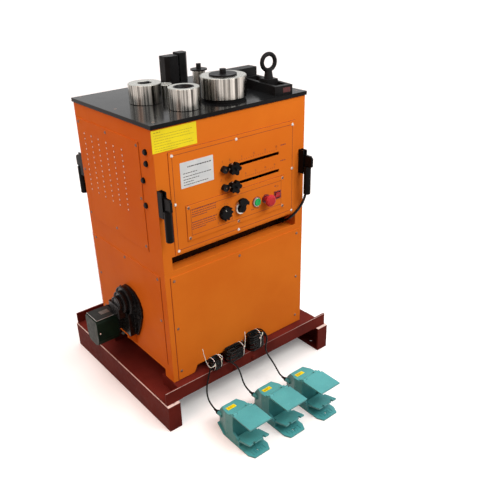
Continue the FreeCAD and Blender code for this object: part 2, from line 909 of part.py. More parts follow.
def upper_cabinet(table_drills):
    shell = box(("cab_left", "cab_right"), ("cab_front", "cab_back"), ("base_top", "shell_top"))
    hollow = box(
        ("inner_left", "inner_right"), ("inner_front", "inner_back"),
        ("base_top", "shell_top - cab_wall"))
    mouth = box(
        ("cab_left + rim_width", "cab_right - rim_width"),
        ("cab_front + rim_width", "cab_back - rim_back"),
        ("shell_top - cab_wall", "shell_top"),
    )
    recess = box(
        ("cab_left + recess_left", "cab_right - recess_right"),
        ("cab_front", "inner_front"),
        ("base_top + recess_foot", "base_top + recess_foot + recess_height"),
    )
    control_x = ("control_left_x", "control_right_x")
    control_z = ("base_top + control_foot", "shell_top - control_head")
    vent_y = ("cab_front + vent_front", "cab_back - vent_back")
    vent_z = ("base_top + vent_foot", "shell_top - vent_head")

    def lapped(pair):
        return (f"{pair[0]} + panel_lap", f"{pair[1]} - panel_lap")

    inset = "panel_screw_inset"
    control_drills = screw_rows(
        "front",
        (f"{control_x[0]} + {inset}", f"({control_x[0]} + {control_x[1]}) / 2", f"{control_x[1]} - {inset}"),
        (f"{control_z[0]} + panel_screw_corner", f"{control_z[1]} - {inset}"),
        "face_front",
    )
    control_drills += screw_rows(
        "front", (f"{control_x[0]} + {inset}", f"{control_x[1]} - {inset}"),
        (f"({control_z[0]} + {control_z[1]}) / 2",), "face_front")
    vent_rows = (
        f"{vent_z[0]} + vent_screw_foot", f"({vent_z[0]} + {vent_z[1]}) / 2", f"{vent_z[1]} - {inset}")
    vent_columns = (f"{vent_y[0]} + vent_screw_front", f"{vent_y[1]} - {inset}")
    middle = f"({vent_y[0]} + {vent_y[1]}) / 2"
    left_drills = screw_rows("left", vent_columns, vent_rows, "cab_left - panel_thickness")
    left_drills += screw_rows("left", (middle,), (vent_rows[0], vent_rows[2]), "cab_left - panel_thickness")
    right_drills = screw_rows("right", vent_columns, vent_rows, "cab_right + panel_thickness")
    back_drills = screw_rows(
        "back", (f"{control_x[0]} + {inset}", f"{control_x[1]} - {inset}"),
        (f"{control_z[0]} + panel_screw_corner", f"({control_z[0]} + {control_z[1]}) / 2",
         f"{control_z[1]} - {inset}"),
        "cab_back + panel_thickness")

    plugs = []
    plug_holes = []
    for count in ("one", "two", "three", "four"):
        spot_y = f"cab_front + plug_{count}_inward"
        spot_z = f"shell_top - plug_{count}_drop"
        plug_holes.append(rod("x", ("cab_left", spot_y, spot_z), "plug_stem_radius + screw_play", "cab_wall"))
        cap = turned(
            [
                ("0", "0"),
                ("plug_radius", "0"),
                ("plug_radius", "plug_height - plug_edge"),
                ("plug_radius - plug_edge", "plug_height"),
                ("0", "plug_height"),
            ],
            ("cab_left", spot_y, spot_z), "-x")
        stem = rod("x", ("cab_left", spot_y, spot_z), "plug_stem_radius", "cab_wall + plug_stem_spare")
        plugs.append(join(cap, stem))
    node("hole_plugs", group(*plugs))

    frame = cut(
        shell, hollow, mouth, recess,
        box(lapped(control_x), ("cab_front", "inner_front"), lapped(control_z)),
        box(lapped(control_x), ("inner_back", "cab_back"), lapped(control_z)),
        box(("cab_left", "cab_right"), lapped(vent_y), lapped(vent_z)),
        *control_drills, *left_drills, *right_drills, *back_drills, *plug_holes)
    recess_left = "cab_left + recess_left"
    recess_right = "cab_right - recess_right"
    recess_top = "base_top + recess_foot + recess_height"
    soffit = box(
        ("inner_left", "inner_right"), ("inner_front", "recess_back - sheet_gap"),
        (recess_top, f"{recess_top} + cab_wall"))
    cheeks = [
        box((low, high), ("inner_front", "recess_back - sheet_gap"), ("base_top", recess_top))
        for low, high in (
            (f"{recess_left} - cab_wall", recess_left), (recess_right, f"{recess_right} + cab_wall"))
    ]
    node("upper_shell", cut(join(frame, soffit, *cheeks), *table_drills))

    slots = []
    for height in ("upper_slot_z", "lower_slot_z"):
        slots.append(box(
            ("slot_left", "slot_right"), ("face_front", "cab_front"),
            (f"{height} - slot_height / 2", f"{height} + slot_height / 2")))
    switch_window = box(
        ("switch_left + panel_lap", "switch_right - panel_lap"), ("face_front", "cab_front"),
        ("switch_foot + switch_window_inset", "switch_head - switch_window_inset"))
    switch_columns = (
        "switch_left + panel_screw_corner", "(switch_left + switch_right) / 2",
        "switch_right - panel_screw_corner")
    switch_rows = ("switch_foot + switch_screw_rise", "switch_head - switch_screw_rise")
    switch_spots = [(x, z) for x in switch_columns for z in switch_rows]
    switch_drills = [screw("front", x, z, "face_switch") for x, z in switch_spots]
    control_sheet = box(control_x, ("face_front", "cab_front"), control_z)
    node("control_panel", cut(control_sheet, switch_window, *slots, *control_drills, *switch_drills))

    left_sheet = box(("cab_left - panel_thickness", "cab_left"), vent_y, vent_z)
    right_sheet = box(("cab_right", "cab_right + panel_thickness"), vent_y, vent_z)
    back_sheet = box(control_x, ("cab_back", "cab_back + panel_thickness"), control_z)
    node("vent_panels", group(
        cut(left_sheet, *left_drills), cut(right_sheet, *right_drills), cut(back_sheet, *back_drills)))
    return switch_drills


def table():
    plate = box(
        ("cab_left - table_overhang", "cab_right + table_overhang"),
        ("cab_front - table_overhang", "cab_back + table_overhang"),
        ("shell_top", "table_top"),
    )
    spindle_hole = rod("z", ("former_x", "former_y", "shell_top"), "spindle_radius + running_play",
                       "table_thickness")
    moving_right = "fixed_jaw_x - cut_gap"
    key_right = f"{moving_right} - moving_jaw_width / 2 + jaw_key_width / 2"
    key_slot = box(
        (f"{key_right} - jaw_key_width - jaw_travel - sliding_play", f"{key_right} + sliding_play"),
        ("fixed_jaw_y - sliding_play", "fixed_jaw_y + jaw_key_depth + sliding_play"),
        ("shell_top", "table_top"),
    )
    sinks = []
    corner_y = ("cab_front + table_screw_front", "(cab_front + cab_back) / 2", "cab_back - rim_back / 2")
    for x in ("cab_left + table_screw_left", "cab_right - rim_width / 2"):
        for y in corner_y:
            head_z = "table_top - screw_head_height"
            foot_z = "shell_top - cab_wall"
            head = cone("z", (x, y, head_z), "screw_shank_radius", "screw_head_radius", "screw_head_height")
            shank = rod("z", (x, y, foot_z), "screw_shank_radius", "table_thickness")
            screws.append(join(head, shank))
            sink = cone("z", (x, y, head_z), "drill_radius", "screw_head_radius + screw_play",
                        "screw_head_height")
            drill = rod("z", (x, y, foot_z), "drill_radius", "table_thickness")
            sinks.append(join(sink, drill))
    node("table_plate", cut(plate, spindle_hole, key_slot, *sinks))
    return sinks


CASTING_FLANGE = (
    (0, 0.69), (0.06, 0.85), (0.17, 0.96), (0.3, 1), (0.42, 0.99), (0.56, 0.83), (0.75, 0.52), (0.95, 0.28),
    (1, 0.01), (0.95, 0), (0.18, 0), (0.09, 0.23), (0.01, 0.5),
)
CASTING_LOWER = ((0.22, 0), (0.22, 0.5), (0.63, 0.5), (0.94, 0.25), (0.97, 0.01), (0.95, 0))
GEARBOX_STEPS = 3


def side_drive():
    wall_x = "cab_left - panel_thickness"

    def casting(shares):
        # Outline points as shares of the casting's width and height, from its front foot
        return [
            (f"gear_y - casting_front + {across} * casting_width", f"motor_z + {up} * casting_height")
            for across, up in shares]

    flange = pad("x", casting(CASTING_FLANGE), f"{wall_x} - casting_flange", wall_x)
    steps = []
    for index in range(GEARBOX_STEPS):
        reach = f"(casting_flange + {index + 1} * gear_step_length)"
        steps.append(rod(
            "x", (f"{wall_x} - {reach}", "gear_y", "gear_z"),
            f"gear_step_radius - {index} * gear_step_fall", reach))
    block = box(
        (f"{wall_x} - casting_block_reach", wall_x),
        ("gear_y - casting_block_front", "gear_y + casting_block_back"),
        ("gear_z - casting_block_foot", "gear_z - casting_block_head"))
    lower = pad("x", casting(CASTING_LOWER), f"{wall_x} - adapter_length", wall_x)
    adapter = rod("x", (f"{wall_x} - adapter_length", "motor_y", "motor_z"),
                  "motor_width / 2 + adapter_rim", "adapter_length + adapter_depth")
    bore = rod("x", (f"{wall_x} - adapter_length", "motor_y", "motor_z"),
               "motor_shaft_radius + running_play", "adapter_length + casting_flange")
    node("gearbox_housing", cut(join(flange, lower, adapter, block, *steps), bore))

    end_x = "cab_left - motor_reach"
    seat_x = f"{wall_x} - adapter_length"
    half_w = "motor_width / 2"
    half_h = "motor_height / 2"

    def motor_section(wall):
        side = f"({half_w} - {wall})"
        foot = f"motor_z - {half_h} + {wall}"
        low = f"motor_z - {half_h} + motor_corner"
        bevel = f"motor_z - {half_h} + motor_corner * 0.3 + {wall}"
        shoulder = f"motor_z + {half_h} - motor_shoulder"
        head = f"motor_z + {half_h} - motor_cover - {wall}"
        return [
            (f"motor_y - {side}", low),
            (f"motor_y - {side} + motor_corner * 0.3", bevel),
            (f"motor_y - {half_w} + motor_corner", foot),
            (f"motor_y + {half_w} - motor_corner", foot),
            (f"motor_y + {side} - motor_corner * 0.3", bevel),
            (f"motor_y + {side}", low),
            (f"motor_y + {side}", shoulder),
            (f"motor_y + {side} - motor_cover_inset", head),
            (f"motor_y - {side} + motor_cover_inset", head),
            (f"motor_y - {side}", shoulder),
        ]

    shell = pad("x", motor_section("0"), end_x, seat_x)
    hollow = pad("x", motor_section("motor_wall"), f"{end_x} + motor_wall", seat_x)
    cover = box(
        (f"{end_x} + motor_cover_inset", seat_x),
        (f"motor_y - {half_w} + motor_cover_inset", f"motor_y + {half_w} - motor_cover_inset"),
        (f"motor_z + {half_h} - motor_cover", f"motor_z + {half_h}"))
    bearing_spot = (f"{end_x} + motor_wall", "motor_y", "motor_z")
    end_bearing = cut(
        rod("x", bearing_spot, "motor_shaft_radius + bearing_wall", "bearing_length"),
        rod("x", bearing_spot, "motor_shaft_radius + running_play", "bearing_length"))
    brush_cap = rod(
        "y", (f"{end_x} + brush_cap_place", f"motor_y - {half_w} - brush_cap_stand",
              f"motor_z - {half_h} + brush_cap_height"),
        "brush_cap_radius", "motor_wall")
    motor_shell = cut(shell, hollow)
    node("motor_housing", join(motor_shell, cover, end_bearing, brush_cap))
    rotor = join(
        rod("x", (f"{end_x} + motor_wall + rotor_gap", "motor_y", "motor_z"), "motor_shaft_radius",
            "motor_reach - panel_thickness - motor_wall + bearing_wall"),
        rod("x", (f"{end_x} + motor_wall + rotor_place", "motor_y", "motor_z"), "rotor_radius",
            "rotor_length"))
    node("motor_armature", rotor)


def table_drive():
    casing = box(
        ("cab_left + casing_left", "cab_right - casing_right"),
        ("recess_back", "casing_back"), ("base_top", "casing_top"))
    hollow = box(
        ("cab_left + casing_left + casing_wall", "cab_right - casing_right - casing_wall"),
        ("recess_back + casing_wall", "casing_back - casing_wall"),
        ("base_top", "casing_top - casing_wall"))
    boss = rod("z", ("former_x", "shaft_y", "casing_top - boss_drop"), "drive_shaft_radius + boss_wall",
               "boss_length")
    bore = rod("z", ("former_x", "shaft_y", "casing_top - shaft_seat_drop"),
               "drive_shaft_radius + running_play", "boss_length")
    spindle_post = rod(
        "z", ("former_x", "former_y", "casing_top - casing_wall"), "spindle_radius + post_wall",
        "wheel_z - casing_top + casing_wall - post_gap")
    spindle_bore = rod("z", ("former_x", "former_y", "wheel_z - boss_length"),
                       "spindle_radius + running_play", "boss_length")
    gland = rod("y", ("gland_boss_x", "recess_back - gland_boss_length", "gland_boss_z"),
                "gland_boss_radius", "gland_boss_length + casing_wall")
    body = join(cut(casing, hollow), boss, spindle_post, gland)
    node("gear_casing", cut(body, bore, spindle_bore))

    shaft_foot = "casing_top - shaft_seat_drop"
    shaft = rod("z", ("former_x", "shaft_y", shaft_foot), "drive_shaft_radius",
                f"wheel_z + gear_face + shaft_head - ({shaft_foot})")
    pinion = rod("z", ("former_x", "shaft_y", "wheel_z"), "pinion_radius", "gear_face")
    node("drive_shaft", join(shaft, pinion))
    wheel = rod("z", ("former_x", "former_y", "wheel_z"), "wheel_radius", "gear_face")
    wheel_bore = rod("z", ("former_x", "former_y", "wheel_z"), "spindle_radius", "gear_face")
    node("spindle_gear", cut(wheel, wheel_bore))


def bending_head():
    centre = ("former_x", "former_y")
    disc = rod("z", (*centre, "table_top + sliding_play"), "disc_radius", "disc_height - sliding_play")
    arm = box(
        ("former_x - arm_width / 2", "former_x + arm_width / 2"), ("former_y", "former_y + arm_reach"),
        ("table_top + sliding_play", "disc_top"))
    arm_end = rod("z", ("former_x", "former_y + arm_reach", "table_top + sliding_play"), "arm_width / 2",
                  "disc_height - sliding_play")
    spindle = rod("z", (*centre, "wheel_z - spindle_tail"), "spindle_radius",
                  "disc_top - wheel_z + spindle_tail")
    centre_hole = rod("z", (*centre, "wheel_z + pin_seat_rise"), "pin_radius", "disc_top - wheel_z")
    roller_hole = rod("z", ("former_x", "former_y + arm_reach", "table_top"), "roller_pin_radius",
                      "disc_height")
    node("bending_disc", cut(join(disc, arm, arm_end, spindle), centre_hole, roller_hole))

    node("centre_former", turned(
        ring("former_radius", "(pin_radius + running_play)", "former_height", "former_edge"),
        (*centre, "disc_top + seat_gap")))
    roller_seat = ("former_x", "former_y + arm_reach", "disc_top + seat_gap")
    roller_height = "(former_height - roller_head_drop)"
    node("bending_roller", turned(
        ring("roller_radius", "(roller_pin_radius + running_play)", roller_height, "former_edge / 2"),
        roller_seat))
    centre_pin = join(
        rod("z", (*centre, "wheel_z + pin_seat_rise"), "pin_radius",
            "former_top - wheel_z - pin_seat_rise + washer_height + pin_rise"),
        rod("z", (*centre, "former_top + washer_gap"), "washer_radius", "washer_height"))
    roller_top = f"disc_top + {roller_height} + washer_gap"
    roller_pin = join(
        rod("z", ("former_x", "former_y + arm_reach", "table_top + sliding_play"), "roller_pin_radius",
            "former_height + disc_height + washer_height + pin_rise"),
        rod("z", ("former_x", "former_y + arm_reach", roller_top), "roller_washer_radius", "washer_height"))
    node("roller_pins", group(centre_pin, roller_pin))

    def loose(name):
        return turned(
            ring(f"{name}_radius", f"{name}_bore", f"{name}_height", "former_edge"),
            (f"{name}_x", f"{name}_y", "table_top"))

    spool = turned(
        [
            ("loose_three_bore", "0"),
            ("loose_three_radius - loose_three_waist", "0"),
            ("loose_three_radius - loose_three_waist", "loose_three_height - loose_three_rim"),
            ("loose_three_radius", "loose_three_height - loose_three_rim"),
            ("loose_three_radius", "loose_three_height"),
            ("loose_three_bore", "loose_three_height"),
        ],
        ("loose_three_x", "loose_three_y", "table_top"))
    node("loose_formers", group(loose("loose_one"), loose("loose_two"), spool))


def cutter():
    right = "fixed_jaw_x + fixed_jaw_width"
    back = "fixed_jaw_y + fixed_jaw_depth"
    fixed = pad(
        "z",
        [
            ("fixed_jaw_x", "fixed_jaw_y"),
            (f"{right} - jaw_bevel", "fixed_jaw_y"),
            (right, "fixed_jaw_y + jaw_bevel"),
            (right, back),
            ("fixed_jaw_x", back),
        ],
        "table_top", "table_top + fixed_jaw_height",
    )
    moving_right = "fixed_jaw_x - cut_gap"
    moving_left = f"{moving_right} - moving_jaw_width"
    front = "fixed_jaw_y - jaw_lead"
    moving_back = f"{front} + moving_jaw_depth"
    moving = pad(
        "z",
        [
            (moving_left, f"{front} + jaw_bevel"),
            (f"{moving_left} + jaw_bevel", front),
            (f"{moving_right} - jaw_bevel / 2", front),
            (moving_right, f"{front} + jaw_bevel / 2"),
            (moving_right, moving_back),
            (moving_left, moving_back),
        ],
        "table_top + seat_gap", "table_top + moving_jaw_height",
    )
    key_middle = f"{moving_right} - moving_jaw_width / 2"
    key = box(
        (f"{key_middle} - jaw_key_width / 2", f"{key_middle} + jaw_key_width / 2"),
        ("fixed_jaw_y", "fixed_jaw_y + jaw_key_depth"),
        ("table_top - jaw_key_drop", "table_top + sheet_gap"))
    blade_y = ("fixed_jaw_y + blade_inset", "fixed_jaw_y + blade_inset + blade_length")
    blade_z = ("table_top + blade_rise", "table_top + blade_rise + blade_height")
    fixed_seat = "fixed_jaw_x - blade_proud + blade_thickness"
    moving_seat = f"{moving_right} + blade_proud - blade_thickness"
    fixed_blade = box(("fixed_jaw_x - blade_proud", fixed_seat), blade_y, blade_z)
    moving_blade = box((moving_seat, f"{moving_right} + blade_proud"), blade_y, blade_z)
    node("fixed_jaw", cut(fixed, box(("fixed_jaw_x", fixed_seat), blade_y, blade_z)))
    node("moving_jaw", cut(join(moving, key), box((moving_seat, moving_right), blade_y, blade_z)))
    node("fixed_blade", fixed_blade)
    node("moving_blade", moving_blade)


def fence():
    node("fence_bar", box(
        ("fence_left", "fence_right"), ("fence_y", "fence_y + fence_depth"),
        ("table_top", "table_top + fence_height")))

    def on_track(thing):
        return place(thing, "track_x", "track_y", "table_top", Vector(0, 0, 1), "track_angle")

    track = cut(
        box(("0", "track_width"), ("0", "track_length"), ("0", "track_height")),
        box(("track_wall", "track_width - track_wall"), ("track_end", "track_length - track_end"),
            ("track_floor", "track_height")))
    node("fence_track", on_track(track))
    slider_top = "track_height + track_slider_rise"
    foot = box(
        ("track_wall + sliding_play", "track_width - track_wall - sliding_play"),
        ("track_slider_place", "track_slider_place + track_slider_length"),
        ("track_floor + seat_gap", slider_top))
    thread = rod(
        "z", ("track_width / 2", "track_slider_place + track_slider_length / 2", "eye_thread_floor"),
        "eye_thread + running_play", slider_top)
    node("track_slider", on_track(cut(foot, thread)))

    ring_middle = f"{slider_top} + eye_neck_height + eye_rise"
    eye_y = "track_slider_place + track_slider_length / 2"
    eye = doc.addObject("Part::Torus", "Eye")
    eye.Placement = FreeCAD.Placement(Vector(), Rotation(Vector(1, 0, 0), 90))
    bind(eye, "Radius1", "(eye_radius + eye_hole) / 2")
    bind(eye, "Radius2", "(eye_radius - eye_hole) / 2")
    place(eye, "track_width / 2", eye_y, ring_middle)
    neck = cone(
        "z", ("track_width / 2", eye_y, f"{slider_top} + running_play"), "eye_neck", "eye_neck * 0.7",
        "eye_neck_height + eye_rise - eye_hole - eye_neck_sink")
    shank = rod("z", ("track_width / 2", eye_y, "eye_thread_floor + seat_gap"), "eye_thread",
                f"{slider_top} - eye_thread_floor + eye_neck_sink")
    node("eye_bolt", on_track(join(eye, neck, shank)))


def stops():
    def stop(height, label):
        low = "stop_x - stop_block / 2"
        high = "stop_x + stop_block / 2"
        tongue = box(
            (low, high), ("face_front - sheet_gap", "cab_front + sheet_gap"),
            (f"{height} - slot_height / 2 + sliding_play", f"{height} + slot_height / 2 - sliding_play"))
        back = box(
            (low, high), ("cab_front + seat_gap", "cab_front + stop_back"),
            (f"{height} - stop_back_half", f"{height} + stop_back_half"))
        knob_face = "face_front - star_standoff - star_thickness"
        knob_length = "star_standoff + star_thickness"
        washer = rod("y", ("stop_x", "face_front - stop_washer", height), "star_hub + stop_washer",
                     "stop_washer - seat_gap")
        stud = rod("y", ("stop_x", f"{knob_face} - stop_stud_proud", height), "stop_stud",
                   f"{knob_length} + stop_stud_proud + panel_thickness")
        pointer = box(
            ("stop_x - pointer_reach", "stop_x"), ("face_front - stop_washer", "face_front - seat_gap"),
            (f"{height} - pointer_half", f"{height} + pointer_half"))
        pointer_boss = rod(
            "y", ("stop_x - pointer_boss_place", "face_front - pointer_boss_length", height),
            "pointer_boss", "pointer_boss_length - seat_gap")
        node(f"{label}_stop_slider", join(tongue, back, washer, stud, pointer, pointer_boss))
        lobes = []
        for index in range(round(number("star_lobes"))):
            turn = f"{index} * 360 / star_lobes"
            lobes.append(rod(
                "y",
                (f"stop_x + (star_radius - star_lobe_radius) * cos({turn})",
                 knob_face,
                 f"{height} + (star_radius - star_lobe_radius) * sin({turn})"),
                "star_lobe_radius", "star_thickness"))
        web = rod("y", ("stop_x", knob_face, height), "star_radius - star_lobe_radius", "star_thickness")
        hub = rod("y", ("stop_x", knob_face, height), "star_hub", f"{knob_length} - stop_washer - seat_gap")
        bore = rod("y", ("stop_x", knob_face, height), "stop_stud + running_play", knob_length)
        node(f"{label}_star_knob", cut(join(web, hub, *lobes), bore))

    stop("upper_slot_z", "upper")
    stop("lower_slot_z", "lower")


def controls(switch_drills):
    front = "face_switch"
    row = "control_row_z"
    plate = box(("switch_left", "switch_right"), (front, "face_front"), ("switch_foot", "switch_head"))
    barrels = (
        ("speed_x", "speed_barrel"), ("selector_x", "selector_barrel"), ("start_x", "button_barrel"),
        ("stop_button_x", "button_barrel"))
    holes = []
    fixed = []
    for x, radius in barrels:
        holes.append(rod("y", (x, front, row), f"{radius} + running_play", "panel_thickness"))
        fixed.append(rod("y", (x, front, row), radius, "switch_depth"))
    rocker_x = ("rocker_x - rocker_width / 2 + rocker_rim", "rocker_x + rocker_width / 2 - rocker_rim")
    rocker_z = (f"{row} - rocker_height / 2 + rocker_rim", f"{row} + rocker_height / 2 - rocker_rim")
    holes.append(box(
        (f"{rocker_x[0]} - running_play", f"{rocker_x[1]} + running_play"), (front, "face_front"),
        (f"{rocker_z[0]} - running_play", f"{rocker_z[1]} + running_play")))
    node("switch_plate", cut(plate, *holes, *switch_drills))

    speed_bush = cut(fixed[0], rod("y", ("speed_x", front, row), "speed_shaft + running_play",
                                   "switch_depth - speed_tab"))
    selector_face = f"{front} - selector_ring_height"
    selector_ring = rod("y", ("selector_x", selector_face, row), "selector_ring", "selector_ring_height")
    selector_socket = rod("y", ("selector_x", selector_face, row), "selector_rotor + running_play",
                          "selector_socket")
    selector_bore = rod("y", ("selector_x", selector_face, row), "speed_shaft + running_play",
                        "selector_ring_height + switch_depth - speed_tab")
    selector_base = cut(join(selector_ring, fixed[1]), selector_socket, selector_bore)
    start_ring = rod("y", ("start_x", f"{front} - start_ring_height", row), "start_ring",
                     "start_ring_height")
    start_bore = rod("y", ("start_x", f"{front} - start_ring_height", row), "start_button + running_play",
                     "switch_depth")
    start_base = cut(join(start_ring, fixed[2]), start_bore)
    red_face = f"{front} - mushroom_ring_height"
    red_ring = rod("y", ("stop_button_x", red_face, row), "mushroom_ring", "mushroom_ring_height")
    red_bore = rod("y", ("stop_button_x", red_face, row), "mushroom_stem + running_play", "switch_depth")
    red_base = cut(join(red_ring, fixed[3]), red_bore)
    frame_outer = box(
        ("rocker_x - rocker_width / 2", "rocker_x + rocker_width / 2"), (f"{front} - rocker_lip", front),
        (f"{row} - rocker_height / 2", f"{row} + rocker_height / 2"))
    frame_body = box(rocker_x, (front, f"{front} + switch_depth"), rocker_z)
    frame_hole = box(
        (f"{rocker_x[0]} + rocker_wall", f"{rocker_x[1]} - rocker_wall"),
        (f"{front} - rocker_lip", f"{front} + switch_depth - speed_tab"),
        (f"{rocker_z[0]} + rocker_wall", f"{rocker_z[1]} - rocker_wall"))
    pivot_y = f"{front} + rocker_pivot_depth"
    rocker_span = f"({rocker_x[1]}) - ({rocker_x[0]})"
    pivot_bore = rod("x", (rocker_x[0], pivot_y, row), "rocker_pivot_radius + running_play", rocker_span)
    rocker_base = cut(join(frame_outer, frame_body), frame_hole, pivot_bore)
    node("switch_bezels", group(speed_bush, selector_base, start_base, red_base, rocker_base))

    knob = turned(
        [
            ("0", "0"),
            ("speed_radius - speed_flute", "0"),
            ("speed_radius - speed_flute / 2", "speed_flute / 2"),
            ("speed_radius - speed_flute / 2", "speed_length - speed_flute"),
            ("speed_radius", "speed_length - speed_tab"),
            ("speed_radius", "speed_length"),
            ("0", "speed_length"),
        ],
        ("speed_x", f"{front} - rocker_lip - speed_length", row), "y")
    tab = box(
        ("speed_x - speed_tab * 0.75", "speed_x + speed_tab * 0.75"),
        (f"{front} - rocker_lip - speed_tab", f"{front} - rocker_lip"),
        (f"{row} - speed_radius - speed_tab", row))
    knob_shaft = rod("y", ("speed_x", f"{front} - shaft_end_gap", row), "speed_shaft",
                     "switch_depth - speed_tab")
    node("speed_knob", join(knob, tab, knob_shaft))

    rotor_face = f"{selector_face} - selector_height"
    rotor = rod("y", ("selector_x", rotor_face, row), "selector_rotor",
                "selector_height + selector_socket - sliding_play")
    arm = box(
        ("0 - selector_arm_tail", "selector_arm"), ("0", "selector_height"),
        ("0 - selector_arm_half", "selector_arm_half"))
    lever = place(
        group(arm), "selector_x", f"{rotor_face} - sheet_gap", row, Vector(0, 1, 0), "selector_tilt")
    rotor_shaft = rod("y", ("selector_x", f"{front} - shaft_end_gap", row), "speed_shaft",
                      "switch_depth - speed_tab - shaft_end_gap")
    node("selector_lever", join(rotor, lever, rotor_shaft))

    node("start_button", rod("y", ("start_x", f"{front} - start_rise", row), "start_button",
                             "start_rise + button_tail"))
    head = turned(
        [
            ("0", "0"),
            ("mushroom_radius * 0.65", "0"),
            ("mushroom_radius - mushroom_edge", "mushroom_height * 0.2"),
            ("mushroom_radius", "mushroom_height / 2"),
            ("mushroom_radius", "mushroom_height - mushroom_edge"),
            ("mushroom_radius - mushroom_edge", "mushroom_height"),
            ("0", "mushroom_height"),
        ],
        ("stop_button_x", f"{front} - mushroom_standoff - mushroom_height", row), "y")
    stem = rod("y", ("stop_button_x", f"{front} - mushroom_standoff - sheet_gap", row), "mushroom_stem",
               "mushroom_standoff + sheet_gap + button_tail")
    node("stop_button", join(head, stem))

    rocker_half = "(rocker_height / 2 - rocker_rim - rocker_end_gap)"
    rocker = pad(
        "x",
        [
            (f"{front} - 2 * rocker_tilt", f"{row} + {rocker_half}"),
            (f"{front} - rocker_tilt", row),
            (f"{front} - rocker_tilt", f"{row} - {rocker_half}"),
            (f"{front} + rocker_hull", f"{row} - rocker_tilt"),
            (f"{front} + rocker_hull", f"{row} + rocker_tilt"),
            (front, f"{row} + {rocker_half}"),
        ],
        f"{rocker_x[0]} + rocker_wall + rocker_side_gap", f"{rocker_x[1]} - rocker_wall - rocker_side_gap",
    )
    pivot = rod("x", (f"{rocker_x[0]} + sliding_play", pivot_y, row), "rocker_pivot_radius",
                f"{rocker_span} - 2 * sliding_play")
    node("power_rocker", join(rocker, pivot))


def handles():
    brackets = []

    def handle(label, x, back):
        # Built on a front wall at y = 0 and turned about Z for the back wall
        half = "bracket_thickness / 2"
        low = "base_top + bracket_foot"
        high = "shell_top - bracket_drop"
        pivot_z = f"{high} - handle_pivot_drop"
        solid = box((f"0 - {half}", half), ("0 - bracket_depth", "0"), (low, high))
        gap = box(
            (f"bracket_cheek - {half}", f"{half} - bracket_cheek"),
            ("0 - bracket_depth", "0 - bracket_cheek"),
            (low, high))
        pin = rod("x", (f"0 - {half}", "0 - handle_pivot_y", pivot_z), "handle_pin", "bracket_thickness")
        bracket = join(cut(solid, gap), pin)
        plate_half = f"({half} - bracket_cheek - sliding_play)"
        top = f"{pivot_z} + knuckle_head"
        foot = f"{top} - knuckle_height"
        knuckle = pad(
            "x",
            [
                ("knuckle_heel - handle_pivot_y", top),
                ("knuckle_head - handle_nose", top),
                ("0 - handle_nose", f"{top} - knuckle_head"),
                ("0 - handle_nose", f"{foot} + knuckle_toe"),
                ("grip_edge - grip_standoff - grip_radius", foot),
                ("grip_radius - grip_edge - grip_standoff", foot),
                ("knuckle_heel - handle_pivot_y", f"{pivot_z} - knuckle_heel_drop"),
            ],
            f"0 - {plate_half}", plate_half,
        )
        bore = rod("x", (f"0 - {half}", "0 - handle_pivot_y", pivot_z), "handle_pin + running_play",
                   "bracket_thickness")
        grip_top = f"{foot} + grip_edge"
        grip = turned(
            ring("grip_radius", "0", "grip_length", "grip_edge"),
            ("0", "0 - grip_standoff", f"{grip_top} - grip_length"))
        lever = join(cut(knuckle, bore), grip)
        wall = "cab_back" if back else "cab_front"
        for thing in (bracket, lever):
            angle = "180" if back else "0"
            place(thing, x, wall, "0", Vector(0, 0, 1), angle)
        brackets.append(bracket)
        node(f"{label}_handle", lever)

    handle("front_left", "handle_left_x", False)
    handle("front_right", "handle_right_x", False)
    handle("back_left", "handle_left_x", True)
    handle("back_right", "handle_right_x", True)
    node("handle_brackets", group(*brackets))


